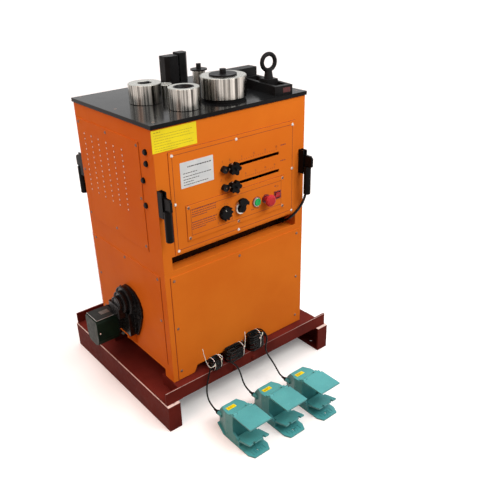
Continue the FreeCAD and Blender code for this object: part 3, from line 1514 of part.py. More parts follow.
def pedals():
    housings = []

    def pedal(label):
        x = f"pedal_{label}_x"
        y = f"pedal_{label}_y"
        half = "pedal_width / 2"
        body_back = "(pedal_length - body_end_gap)"
        tail = "body_tail / 2"
        sole = pad(
            "z",
            [
                (f"pedal_nose / 2 - {half}", "0"),
                (f"{half} - pedal_nose / 2", "0"),
                (half, "pedal_nose"),
                (half, "body_taper"),
                (f"{tail} + sole_tail_rim", "pedal_length"),
                (f"0 - {tail} - sole_tail_rim", "pedal_length"),
                (f"0 - {half}", "body_taper"),
                (f"0 - {half}", "pedal_nose"),
            ],
            "0", "pedal_sole",
        )
        front_hole = rod("z", ("0", "pedal_nose", "0"), "pedal_pin + cheek_lap", "pedal_sole")
        plan = pad(
            "z",
            [
                (f"body_skin - {half}", "body_start"),
                (f"{half} - body_skin", "body_start"),
                (f"{half} - body_skin", "body_taper - body_plan_taper"),
                (tail, body_back),
                (f"0 - {tail}", body_back),
                (f"body_skin - {half}", "body_taper - body_plan_taper"),
            ],
            "0", "body_height",
        )
        side = pad(
            "x",
            [
                ("body_start", "0"),
                ("body_start", "body_height - body_crown_drop"),
                ("body_start + body_crown", "body_height"),
                ("body_taper + body_slope_place", "body_height - body_slope_drop"),
                (f"{body_back} - body_tail_lean", "body_height - body_tail_drop"),
                (body_back, "0"),
            ],
            f"0 - {half}", half,
        )
        tower = common(plan, side)
        cheeks = []
        for sign in ("-1", "1"):
            outer = f"{sign} * ({half} - body_skin)"
            inner = f"{sign} * ({half} - body_skin - cheek_wall)"
            low, high = sorted((outer, inner), key=number)
            cheeks.append(pad(
                "x",
                [
                    ("body_start - cheek_reach", "0"),
                    ("body_start - cheek_reach", "cheek_height - cheek_nose"),
                    ("body_start - cheek_reach + cheek_nose", "cheek_height"),
                    ("body_start + cheek_lap", "cheek_height + cheek_rise"),
                    ("body_start + cheek_lap", "0"),
                ],
                low, high))
        pin_start = f"pedal_pin_inset - {half}"
        pin_length = "pedal_width - 2 * pedal_pin_inset"
        pivot_y = "(body_start - treadle_pivot_lead)"
        pivot_z = "treadle_pivot_z"
        treadle_pin = rod("x", (pin_start, pivot_y, pivot_z), "pedal_pin", pin_length)
        guard_y = "(body_start - guard_pivot_lead)"
        guard_z = "guard_top - guard_barrel"
        boss_starts = (f"guard_pivot_lead - {half}", f"{half} - guard_boss - guard_pivot_lead")
        bosses = [
            rod("x", (start, guard_y, guard_z), "guard_barrel", "guard_boss") for start in boss_starts]
        lugs = [
            box((start, f"{start} + guard_boss"), (guard_y, "body_start + guard_lug_reach"),
                ("body_height - guard_lug_drop", guard_z))
            for start in boss_starts]
        guard_pin = rod("x", (pin_start, guard_y, guard_z), "pedal_pin", pin_length)
        gland = rod("y", ("gland_offset", "pedal_length - gland_root - 2 * gland_length", "gland_z"),
                    "gland_radius", "gland_length + gland_root")
        housing = join(cut(sole, front_hole), tower, *cheeks, treadle_pin, *bosses, *lugs, guard_pin, gland)
        place(housing, x, y, "0", Vector(0, 0, 1), "0")
        housings.append(housing)

        reach_y = "(body_start - treadle_reach)"
        plate = pad(
            "x",
            [
                (reach_y, "treadle_front - treadle_plate"),
                (reach_y, "treadle_front"),
                (f"{pivot_y} - treadle_knee / 2", f"{pivot_z} + treadle_barrel"),
                (f"{pivot_y} + treadle_knee", f"{pivot_z} + treadle_barrel / 2"),
                (f"{pivot_y} + treadle_knee", f"{pivot_z} - treadle_barrel / 2"),
                (f"{pivot_y} - treadle_knee", f"{pivot_z} - treadle_knee / 2"),
            ],
            "0 - treadle_width / 2", "treadle_width / 2",
        )
        barrel = rod("x", ("0 - treadle_neck / 2", pivot_y, pivot_z), "treadle_barrel", "treadle_neck")
        bore = rod("x", ("0 - treadle_neck / 2", pivot_y, pivot_z), "pedal_pin + running_play",
                   "treadle_neck")
        notches = [
            box((f"{centre} - treadle_notch / 2", f"{centre} + treadle_notch / 2"),
                (f"{reach_y} - sheet_gap", f"{reach_y} + treadle_notch_depth"),
                ("treadle_front - 2 * treadle_plate", "treadle_front + treadle_plate"))
            for centre in ("0 - treadle_width / 4", "treadle_width / 4")]
        notches += [
            box(span, ("body_start - cheek_reach - cheek_lap", "pedal_length"), ("0", "body_height"))
            for span in (
                ("0 - treadle_width", "0 - treadle_neck / 2"), ("treadle_neck / 2", "treadle_width"))]
        treadle = cut(join(plate, barrel), bore, *notches)
        node(f"treadle_{label}", place(treadle, x, y, "0", Vector(0, 0, 1), "0"))

        inner_half = f"({half} - guard_boss - guard_pivot_lead - sliding_play)"
        guard_sheet = box(
            ("0 - guard_width / 2", "guard_width / 2"),
            (f"{guard_y} - guard_reach", f"{guard_y} - guard_barrel - guard_gap"),
            ("guard_top - guard_plate", "guard_top"))
        neck = box(
            (f"0 - {inner_half}", inner_half), (f"{guard_y} - guard_barrel - 2 * guard_gap", guard_y),
            ("guard_top - guard_plate", "guard_top"))
        guard_hub = rod("x", (f"0 - {inner_half}", guard_y, guard_z), "guard_barrel", f"2 * {inner_half}")
        guard_bore = rod("x", (f"0 - {inner_half}", guard_y, guard_z), "pedal_pin + running_play",
                         f"2 * {inner_half}")
        guard = cut(join(guard_sheet, neck, guard_hub), guard_bore)
        node(f"guard_{label}", place(guard, x, y, "0", Vector(0, 0, 1), "0"))

    for label in ("one", "two", "three"):
        pedal(label)
    node("pedal_housings", group(*housings))


def tangent_arc(start, tangent, end):
    # Arc that leaves start along tangent and reaches end
    chord = end - start
    half = chord.Length / 2
    reach = half / max(tangent.dot(chord) / chord.Length, 1e-9)
    corner = start + tangent * reach
    middle = (start + end) / 2
    lean = math.acos(min(1.0, half / reach))
    if lean < 1e-4:
        return Part.LineSegment(start, end).toShape()
    share = math.tan(lean / 2) / math.tan(lean)
    return Part.Arc(start, middle + (corner - middle) * share, end).toShape()


def biarc(start, start_way, end, end_way):
    span = end - start
    both = start_way + end_way
    turn = 2 * (1 - start_way.dot(end_way))
    along = span.dot(both)
    reach = (math.sqrt(along * along + turn * span.dot(span)) - along) / turn
    joint = (start + end + (start_way - end_way) * reach) / 2
    joint_way = (end - end_way * reach - joint).normalize()
    return [tangent_arc(start, start_way, joint), tangent_arc(joint, joint_way, end)]


CORNER_SHARE = 0.45


def route(points, name):
    # Straight runs joined by tangent arcs; prints the tightest bend
    corners = [Vector(*point) for point in points]
    edges = []
    cursor = corners[0]
    tightest = None
    for index in range(1, len(corners) - 1):
        before = corners[index] - corners[index - 1]
        after = corners[index + 1] - corners[index]
        turn = before.getAngle(after)
        setback = CORNER_SHARE * min(before.Length, after.Length)
        radius = setback / math.tan(turn / 2)
        tightest = radius if tightest is None else min(tightest, radius)
        first = corners[index] - before.normalize() * setback
        last = corners[index] + after.normalize() * setback
        edges.append(Part.LineSegment(cursor, first).toShape())
        edges.append(tangent_arc(first, Vector(before), last))
        cursor = last
    edges.append(Part.LineSegment(cursor, corners[-1]).toShape())
    if tightest is not None:
        print(f"{name}: tightest bend {tightest:.1f}")
    return edges


def winding(middle, reach_x, reach_y, start_angle, turns, pitch, sense):
    # Oval helix of quarter-turn biarcs; sense is 1 anticlockwise or -1 clockwise seen from above
    steps = round(turns * 4)

    def spot(step):
        angle = math.radians(start_angle + sense * step * 90)
        return middle + Vector(reach_x * math.cos(angle), reach_y * math.sin(angle), pitch * step / 4)

    def way(step):
        angle = math.radians(start_angle + sense * step * 90)
        run = Vector(-reach_x * math.sin(angle), reach_y * math.cos(angle), 0) * sense
        return (run + Vector(0, 0, pitch / (2 * math.pi))).normalize()

    edges = []
    for step in range(steps):
        edges += biarc(spot(step), way(step), spot(step + 1), way(step + 1))
    return edges, spot(0), spot(steps), way(steps)


def tube(edges, diameter, name):
    wire = Part.Wire(edges)
    first = edges[0]
    way = first.tangentAt(first.FirstParameter)
    circle = Part.Circle(first.valueAt(first.FirstParameter), way, diameter / 2)
    solid = wire.makePipeShell([Part.Wire(circle.toShape())], True, False)
    if solid.ShapeType != "Solid":
        solid = Part.Solid(solid)
    expected = wire.Length * math.pi * diameter ** 2 / 4
    share = solid.Volume / expected
    print(f"{name}: length {wire.Length:.0f}, volume share {share:.4f}, valid {solid.isValid()}")
    return solid


def least_gap(edges, diameter, name):
    # Distance between strands more than one turn's tenth apart along the tube
    samples = []
    travelled = 0
    for edge in edges:
        count = max(2, int(edge.Length / 3))
        for index in range(count):
            share = edge.FirstParameter + (edge.LastParameter - edge.FirstParameter) * index / count
            samples.append((travelled + edge.Length * index / count, edge.valueAt(share)))
        travelled += edge.Length
    gap = min(
        (a[1] - b[1]).Length for i, a in enumerate(samples) for b in samples[i + 1:]
        if b[0] - a[0] > 5 * diameter)
    print(f"{name}: least gap to itself {gap - diameter:.2f}")


def soft_solid(shape):
    thing = doc.addObject("Part::Feature", "Soft")
    thing.Shape = shape
    return thing


PEDAL_ROUTES = {
    # From the foot switch's gland to the coil on the front rail
    "one": [(-230.5, -414, 58), (-230.5, -390, 58), (-229, -356, 76), (-218, -338, 108), (-206, -336, 146),
            (-187, -331, 185)],
    "two": [(-83.5, -423, 58), (-83.5, -396, 58), (-77, -361, 67), (-73, -342, 99), (-88, -339, 137),
            (-114, -337, 162), (-104, -334, 191)],
    "three": [(56.5, -436, 58), (56.5, -410, 58), (66, -384, 61), (71, -352, 80), (54, -340, 116),
              (44, -341, 152), (60, -337, 180), (51, -331, 210)],
}

PEDAL_COILS = {
    # Middle, half width and turns of each coil, and the way that it is wound
    "one": (-157, 24.2, 5.25, -1),
    "two": (-73.5, 41.7, 6.25, -1),
    "three": (23, 34.2, 9.25, 1),
}

MAINS_ROUTE = [
    # From the gland in the recess, round the right-hand side and down to the coil on the deck; X is counted
    # from the cabinet's right-hand side
    (-66, -239, 572), (-66, -266, 572), (-60, -303, 604), (-16, -304, 633), (5, -303, 676),
    (20, -296, 733), (27, -250, 772), (27, -197, 760), (28, -165, 708), (24, -158, 600),
    (30, -150, 480), (24, -138, 360), (30, -112, 255), (22, -66, 196), (10, -14, 166),
]

MAINS_TAIL = [(100.5, 20, 108.8), (95, -14, 111), (84, -44, 118), (84, -70, 118)]


def beside_cabinet(points):
    return [(number("cab_right") + x, y, z) for x, y, z in points]


def pedal_leads():
    diameter = number("pedal_cord")
    reach_y = number("coil_depth") / 2 - diameter / 2
    middle_y = number("face_front") - number("cord_play") - diameter / 2 - reach_y
    foot = number("rail_top") + number("cord_play") + diameter / 2
    bar_face = number("cab_front + gland_bar_setback")
    cords = []
    coils = []
    for label, (middle_x, reach_x, turns, sense) in PEDAL_COILS.items():
        middle = Vector(middle_x, middle_y, foot)
        start_angle = 0 if sense < 0 else 180
        edges, start, end, end_way = winding(
            middle, reach_x, reach_y, start_angle, turns, number("coil_pitch"), sense)
        entry = Vector(start.x, bar_face, foot)
        lead = Part.LineSegment(entry, start).toShape()
        coil_edges = [lead] + edges
        least_gap(coil_edges, diameter, f"pedal coil {label}")
        coils.append(soft_solid(tube(coil_edges, diameter, f"pedal coil {label}")))
        points = PEDAL_ROUTES[label] + [tuple(end)]
        cords.append(soft_solid(tube(
            route(points, f"pedal cord {label}"), diameter, f"pedal cord {label}")))
        print(f"pedal coil {label}: from {entry} to {end}")
    node("pedal_coils", group(*coils))
    node("pedal_cords", group(*cords))


def mains_lead():
    diameter = number("mains_cord")
    radius = number("mains_coil_radius")
    turns = number("mains_coil_turns")
    pitch = number("mains_coil_pitch")
    foot = number("deck_top") + number("cord_play") + diameter / 2
    middle = Vector(number("mains_coil_x"), number("mains_coil_y"), foot)
    edges, start, end, end_way = winding(middle, radius, radius, 0, turns, pitch, 1)
    # Wound upwards from the tail at the bottom to the lead at the top
    tail_points = beside_cabinet(reversed(MAINS_TAIL)) + [tuple(start)]
    tail = route(tail_points, "mains tail")
    coil_edges = tail + edges
    least_gap(coil_edges, diameter, "mains coil")
    node("mains_coil", soft_solid(tube(coil_edges, diameter, "mains coil")))
    lead_in = end + end_way * number("mains_lead_in")
    points = beside_cabinet(MAINS_ROUTE) + [tuple(lead_in), tuple(end)]
    node("mains_cord", soft_solid(tube(route(points, "mains cord"), diameter, "mains cord")))
    print(f"mains coil: from {start} to {end}")


def mains_plug():
    back = beside_cabinet(MAINS_TAIL)[-1]
    spot = (str(back[0]), f"{back[1]} - plug_body_length", str(back[2]))
    body = turned(
        [
            ("0", "0"),
            ("plug_body_radius - plug_front_edge", "0"),
            ("plug_body_radius", "plug_front_edge"),
            ("plug_body_radius", "plug_body_length * plug_grip_share"),
            ("plug_body_radius * 0.5", "plug_body_length"),
            ("0", "plug_body_length"),
        ],
        spot, "y")
    pins = []
    for sign in ("-1", "1"):
        pins.append(rod(
            "y",
            (f"{back[0]} + {sign} * plug_pin_spread", f"{back[1]} - plug_body_length - plug_pin_length",
             str(back[2])),
            "plug_pin_radius", "plug_pin_length + plug_pin_root"))
    node("mains_plug", join(body, *pins))


skid()
base_cabinet()
plate_drills = upper_cabinet(table())
side_drive()
table_drive()
bending_head()
cutter()
fence()
stops()
controls(plate_drills)
handles()
pedals()
node("cabinet_screws", group(*screws))
pedal_leads()
mains_lead()
mains_plug()

doc.recompute()
faults = []
for name, thing in NODES:
    shape = thing.Shape
    if "Invalid" in thing.State or "Error" in thing.State or shape.isNull() or not shape.isValid():
        faults.append(name)
for thing in doc.Objects:
    if "Invalid" in thing.State or "Error" in thing.State:
        faults.append(f"{thing.Name} of {thing.Label}")
if faults:
    raise RuntimeError("faulty shapes: " + ", ".join(faults))

os.makedirs("parts", exist_ok=True)
for name, thing in NODES:
    thing.Shape.exportStep(f"parts/{name}.step")
    bounds = thing.Shape.BoundBox
    print(f"{name}: solids {len(thing.Shape.Solids)}, x {bounds.XMin:.1f} {bounds.XMax:.1f},"
          f" y {bounds.YMin:.1f} {bounds.YMax:.1f}, z {bounds.ZMin:.1f} {bounds.ZMax:.1f}")
print("nodes", len(NODES))
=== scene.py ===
import bpy
import bmesh
import json
import math
import random
from mathutils import Matrix, Vector

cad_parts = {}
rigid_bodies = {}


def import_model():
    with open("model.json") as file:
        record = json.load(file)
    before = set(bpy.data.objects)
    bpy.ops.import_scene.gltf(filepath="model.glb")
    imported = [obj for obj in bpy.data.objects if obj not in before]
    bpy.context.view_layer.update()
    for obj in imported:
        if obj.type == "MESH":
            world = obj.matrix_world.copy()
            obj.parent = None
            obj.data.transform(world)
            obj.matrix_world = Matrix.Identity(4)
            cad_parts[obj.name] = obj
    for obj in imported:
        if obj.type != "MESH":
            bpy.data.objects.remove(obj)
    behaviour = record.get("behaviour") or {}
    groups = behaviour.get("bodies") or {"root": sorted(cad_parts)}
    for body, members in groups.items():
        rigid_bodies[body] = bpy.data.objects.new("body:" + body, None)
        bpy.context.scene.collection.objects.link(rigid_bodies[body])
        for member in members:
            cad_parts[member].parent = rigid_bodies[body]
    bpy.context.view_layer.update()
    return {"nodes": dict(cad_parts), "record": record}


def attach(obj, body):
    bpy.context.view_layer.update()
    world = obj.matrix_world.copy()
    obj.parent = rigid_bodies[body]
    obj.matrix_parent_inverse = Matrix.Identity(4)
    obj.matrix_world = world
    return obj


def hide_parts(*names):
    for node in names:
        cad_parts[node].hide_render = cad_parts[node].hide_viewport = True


for leftover in list(bpy.data.objects):
    bpy.data.objects.remove(leftover)

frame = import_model()
nodeSlots = {entry["node"]: entry["material_slot"] for entry in frame["record"]["subparts"]}
mm = 0.001


# Colours are written as on a screen and turned into the linear values that shaders use
def hexColour(code):
    channels = [int(code[place:place + 2], 16) / 255.0 for place in (0, 2, 4)]
    linear = [c / 12.92 if c <= 0.04045 else ((c + 0.055) / 1.055) ** 2.4 for c in channels]
    return (linear[0], linear[1], linear[2], 1.0)


def addNode(tree, kind, settings=None, inputs=None):
    node = tree.nodes.new(kind)
    for key, value in (settings or {}).items():
        setattr(node, key, value)
    for key, value in (inputs or {}).items():
        if isinstance(value, bpy.types.NodeSocket):
            tree.links.new(value, node.inputs[key])
        else:
            node.inputs[key].default_value = value
    return node


def noiseValue(tree, place, sizeMm, detail=3.0, roughness=0.55):
    inputs = {"Vector": place, "Scale": 1000.0 / sizeMm, "Detail": detail, "Roughness": roughness}
    return addNode(tree, "ShaderNodeTexNoise", {}, inputs).outputs[0]


def lineNoise(tree, along, detail):
    inputs = {"W": along, "Scale": 1.0, "Detail": detail, "Roughness": 0.6}
    return addNode(tree, "ShaderNodeTexNoise", {"noise_dimensions": "1D"}, inputs).outputs[0]


def remap(tree, value, low, high, toLow=0.0, toHigh=1.0):
    inputs = {"Value": value, "From Min": low, "From Max": high, "To Min": toLow, "To Max": toHigh}
    return addNode(tree, "ShaderNodeMapRange", {"clamp": True}, inputs).outputs[0]


def maths(tree, operation, first, second=0.0):
    return addNode(tree, "ShaderNodeMath", {"operation": operation}, {0: first, 1: second}).outputs[0]


def mixColour(tree, share, first, second):
    return addNode(tree, "ShaderNodeMix", {"data_type": "RGBA"}, {0: share, 6: first, 7: second}).outputs[2]


def mixValue(tree, share, first, second):
    return addNode(tree, "ShaderNodeMix", {"data_type": "FLOAT"}, {0: share, 2: first, 3: second}).outputs[0]


def coordinates(tree, kind="Object"):
    return addNode(tree, "ShaderNodeTexCoord").outputs[kind]


def split(tree, vector):
    return addNode(tree, "ShaderNodeSeparateXYZ", {}, {0: vector}).outputs


# 1 where the camera, a mirror or glass looks straight at the background
def backgroundSeen(tree):
    path = addNode(tree, "ShaderNodeLightPath").outputs
    through = maths(tree, "MAXIMUM", path["Is Glossy Ray"], path["Is Transmission Ray"])
    return maths(tree, "MAXIMUM", path["Is Camera Ray"], through)


def startMaterial(name):
    material = bpy.data.materials.new(name)
    material.use_nodes = True
    material.node_tree.nodes.clear()
    return material, material.node_tree


def endMaterial(tree, colour, roughness, normal, constants):
    shader = addNode(tree, "ShaderNodeBsdfPrincipled", {}, {"Base Color": colour, "Roughness": roughness})
    if normal is not None:
        tree.links.new(normal, shader.inputs["Normal"])
    for key, value in constants.items():
        shader.inputs[key].default_value = value
    addNode(tree, "ShaderNodeOutputMaterial", {}, {"Surface": shader.outputs[0]})
    return shader


def bump(tree, height, distanceMm, normal=None):
    inputs = {"Height": height, "Distance": distanceMm * mm}
    if normal is not None:
        inputs["Normal"] = normal
    return addNode(tree, "ShaderNodeBump", {}, inputs).outputs[0]


# A small radius on every edge, as folded sheet and castings have
def softEdges(tree, radiusMm):
    return addNode(tree, "ShaderNodeBevel", {"samples": 4}, {"Radius": radiusMm * mm}).outputs[0]


# Paint, plastic and casting: two broad shades, flecks, gloss that varies, and a surface grain
def makeSurface(look):
    material, tree = startMaterial(look["name"])
    place = coordinates(tree)
    broad = remap(tree, noiseValue(tree, place, look["cloudMm"], 4.0), 0.36, 0.64)
    colour = mixColour(tree, broad, hexColour(look["colour"]), hexColour(look["second"]))
    if "fleck" in look:
        fleck = remap(tree, noiseValue(tree, place, look["fleckMm"], 5.0, 0.7), look["fleckFrom"],
                      look["fleckFrom"] + 0.08, 0.0, look["fleckShare"])
        colour = mixColour(tree, fleck, colour, hexColour(look["fleck"]))
    if "worn" in look:
        colour = mixColour(tree, look["worn"](tree, place), colour, hexColour(look["wornColour"]))
    gloss = noiseValue(tree, place, look.get("glossMm", 14.0), 4.0)
    roughness = remap(tree, gloss, 0.3, 0.7, look["roughness"][0], look["roughness"][1])
    edges = softEdges(tree, look.get("edgeMm", 0.5))
    normal = bump(tree, noiseValue(tree, place, look["grainMm"], 2.0), look["grainHeightMm"], edges)
    if "waveMm" in look:
        normal = bump(tree, noiseValue(tree, place, look["waveMm"], 1.0), look["waveHeightMm"], normal)
    endMaterial(tree, colour, roughness, normal, look.get("constants", {}))
    return material


# Hammered paint: rounded cells with shallow valleys between them, and paler scuffs on top
def makeHammered(look):
    material, tree = startMaterial(look["name"])
    place = coordinates(tree)
    broad = remap(tree, noiseValue(tree, place, look["cloudMm"], 3.0), 0.35, 0.65)
    colour = mixColour(tree, broad, hexColour(look["colour"]), hexColour(look["second"]))
    inputs = {"Vector": place, "Scale": 1000.0 / look["cellMm"], "Smoothness": 0.7}
    cells = addNode(tree, "ShaderNodeTexVoronoi", {"feature": "SMOOTH_F1"}, inputs).outputs["Distance"]
    valley = remap(tree, cells, 0.35, 0.75, 0.0, look["valleyShare"])
    colour = mixColour(tree, valley, colour, hexColour(look["valley"]))
    scuff = remap(tree, noiseValue(tree, place, look["scuffMm"], 6.0, 0.75), 0.60, 0.72, 0.0,
                  look["scuffShare"])
    colour = mixColour(tree, scuff, colour, hexColour(look["scuff"]))
    gloss = noiseValue(tree, place, look["cellMm"] * 1.5, 2.0)
    roughness = remap(tree, gloss, 0.3, 0.7, look["roughness"][0], look["roughness"][1])
    normal = bump(tree, cells, look["cellHeightMm"], softEdges(tree, look["edgeMm"]))
    endMaterial(tree, colour, roughness, normal, look["constants"])
    return material


# The nearest of a few upright axes, each after the first taken where one coordinate is under a limit
def nearestAxis(tree, xyz, centres):
    axisX, axisY = centres[0]["x"] * mm, centres[0]["y"] * mm
    for centre in centres[1:]:
        chosen = maths(tree, "LESS_THAN", xyz[centre["along"]], centre["below"] * mm)
        axisX = mixValue(tree, chosen, axisX, centre["x"] * mm)
        axisY = mixValue(tree, chosen, axisY, centre["y"] * mm)
    return axisX, axisY


# Ground steel: streaks run down each roller's side and round its top. Broad dark and bright bands on the
# side, brightest where the side faces one fixed way, are a painted reflection, and the top is painted lighter
# as if lit from above.
def makeGroundSteel(look, centres):
    material, tree = startMaterial(look["name"])
    place = coordinates(tree)
    xyz = split(tree, place)
    axisX, axisY = nearestAxis(tree, xyz, centres)
    outX = maths(tree, "SUBTRACT", xyz[0], axisX)
    outY = maths(tree, "SUBTRACT", xyz[1], axisY)
    angle = maths(tree, "ARCTAN2", outY, outX)
    squares = maths(tree, "ADD", maths(tree, "MULTIPLY", outX, outX), maths(tree, "MULTIPLY", outY, outY))
    radius = maths(tree, "SQRT", squares)
    up = split(tree, coordinates(tree, "Normal"))[2]
    onTop = remap(tree, maths(tree, "ABSOLUTE", up), 0.6, 0.8)
    drift = maths(tree, "MULTIPLY", xyz[2], look["driftPerMetre"])
    reflectionBands = lineNoise(tree, maths(tree, "MULTIPLY", angle, look["reflectionBands"]), 2.0)
    lines = lineNoise(tree, maths(tree, "ADD", maths(tree, "MULTIPLY", angle, look["streaks"]), drift), 3.0)
    # Bands are brightest on the two sides facing along one fixed direction and darkest across it: a painted
    # reflection
    turned = maths(tree, "ADD", angle, look["paintedReflectionAngle"])
    paintedReflectionFacing = maths(tree, "ABSOLUTE", maths(tree, "COSINE", turned))
    reflectionBands = maths(tree, "MULTIPLY", remap(tree, reflectionBands, 0.4, 0.58), remap(tree, paintedReflectionFacing, 0.1, 0.7, 0.1, 1.0))
    side = mixValue(tree, 0.2, reflectionBands, remap(tree, lines, 0.38, 0.62))
    rings = lineNoise(tree, maths(tree, "MULTIPLY", radius, look["ringsPerMetre"]), 3.0)
    grainAndPaintedReflection = mixValue(tree, onTop, side, remap(tree, rings, 0.3, 0.7))
    sideColour = mixColour(tree, grainAndPaintedReflection, hexColour(look["dark"]), hexColour(look["light"]))
    # Tops painted paler and more even than the sides, as if lit from above
    topColour = mixColour(tree, grainAndPaintedReflection, hexColour(look["paintedLitTopDark"]), hexColour(look["paintedLitTopLight"]))
    colour = mixColour(tree, onTop, sideColour, topColour)
    stain = remap(tree, noiseValue(tree, place, look["stainMm"], 5.0, 0.7), 0.56, 0.72, 0.0,
                  look["stainShare"])
    colour = mixColour(tree, stain, colour, hexColour(look["stain"]))
    roughness = remap(tree, grainAndPaintedReflection, 0.3, 0.7, look["roughness"][0], look["roughness"][1])
    normal = bump(tree, grainAndPaintedReflection, look["streakHeightMm"], softEdges(tree, look["edgeMm"]))
    endMaterial(tree, colour, roughness, normal, look["constants"])
    return material


# Pale floor that throws little light back up at the object
def makeFloor(look):
    material, tree = startMaterial(look["name"])
    place = coordinates(tree)
    cloud = remap(tree, noiseValue(tree, place, look["cloudMm"], 4.0), 0.36, 0.64)
    pale = mixColour(tree, cloud, hexColour(look["colour"]), hexColour(look["second"]))
    seen = backgroundSeen(tree)
    colour = mixColour(tree, seen, hexColour(look["bounce"]), pale)
    normal = bump(tree, noiseValue(tree, place, look["grainMm"], 2.0), look["grainHeightMm"])
    shader = endMaterial(tree, colour, look["roughness"], normal, look["constants"])
    shader.inputs["Emission Color"].default_value = hexColour("FFFFFF")
    tree.links.new(maths(tree, "MULTIPLY", seen, look["lift"]), shader.inputs["Emission Strength"])
    return material


# Where the skid is rubbed and where its edges are painted pale as a highlight, in millimetres: spans run from
# none to full
skidEdges = dict(rubMm=22.0, outerSide=(367.6, 368.8), runnerTop=(98.0, 99.2), railUnderside=100.2,
                 railFront=(320.5, 321.5), railTop=(146.2, 147.4), railMiddle=(150, 320), cornersFrom=300,
                 runnerFront=(323.5, 325.0))


def remapMm(tree, value, span, toLow=0.0, toHigh=1.0):
    return remap(tree, value, span[0] * mm, span[1] * mm, toLow, toHigh)


def multiply(tree, first, second):
    return maths(tree, "MULTIPLY", first, second)


# Pale lines along the skid's outer top edges and the front rail's top edge, and a bare strip at the runners'
# front ends: partly rubbed paint, partly a painted highlight where the edges catch the light
def skidWear(tree, place):
    xyz = split(tree, place)
    sideways = maths(tree, "ABSOLUTE", xyz[0])
    front = multiply(tree, xyz[1], -1.0)
    rub = remap(tree, noiseValue(tree, place, skidEdges["rubMm"], 6.0, 0.7), 0.30, 0.46)
    underRail = maths(tree, "LESS_THAN", xyz[2], skidEdges["railUnderside"] * mm)
    runnerTop = multiply(tree, underRail, remapMm(tree, xyz[2], skidEdges["runnerTop"]))
    runnerEdge = multiply(tree, remapMm(tree, sideways, skidEdges["outerSide"]), runnerTop)
    railTop = multiply(tree, remapMm(tree, front, skidEdges["railFront"]),
                       remapMm(tree, xyz[2], skidEdges["railTop"]))
    # Fainter in the rail's middle and paler towards its ends: a painted highlight
    railTop = multiply(tree, railTop, remapMm(tree, sideways, skidEdges["railMiddle"], 0.25, 0.85))
    edges = multiply(tree, maths(tree, "MAXIMUM", runnerEdge, railTop), rub)
    atCorner = maths(tree, "GREATER_THAN", sideways, skidEdges["cornersFrom"] * mm)
    end = multiply(tree, atCorner, remapMm(tree, front, skidEdges["runnerFront"]))
    return maths(tree, "MAXIMUM", edges, multiply(tree, multiply(tree, end, runnerTop), rub))


# Limits in millimetres between the bright screws of the control panel and the dull ones
dullPlaces = dict(switchPlateY=-294.8, belowZ=600, leftOfX=-289.5, tableZ=1000)


def dullScrews(tree, place):
    x, y, z = split(tree, place)
    onSwitchPlate = maths(tree, "LESS_THAN", y, dullPlaces["switchPlateY"] * mm)
    onTable = maths(tree, "GREATER_THAN", z, dullPlaces["tableZ"] * mm)
    lowOrLeft = maths(tree, "MAXIMUM", maths(tree, "LESS_THAN", z, dullPlaces["belowZ"] * mm),
                      maths(tree, "LESS_THAN", x, dullPlaces["leftOfX"] * mm))
    return maths(tree, "MAXIMUM", maths(tree, "MAXIMUM", onSwitchPlate, onTable), lowOrLeft)


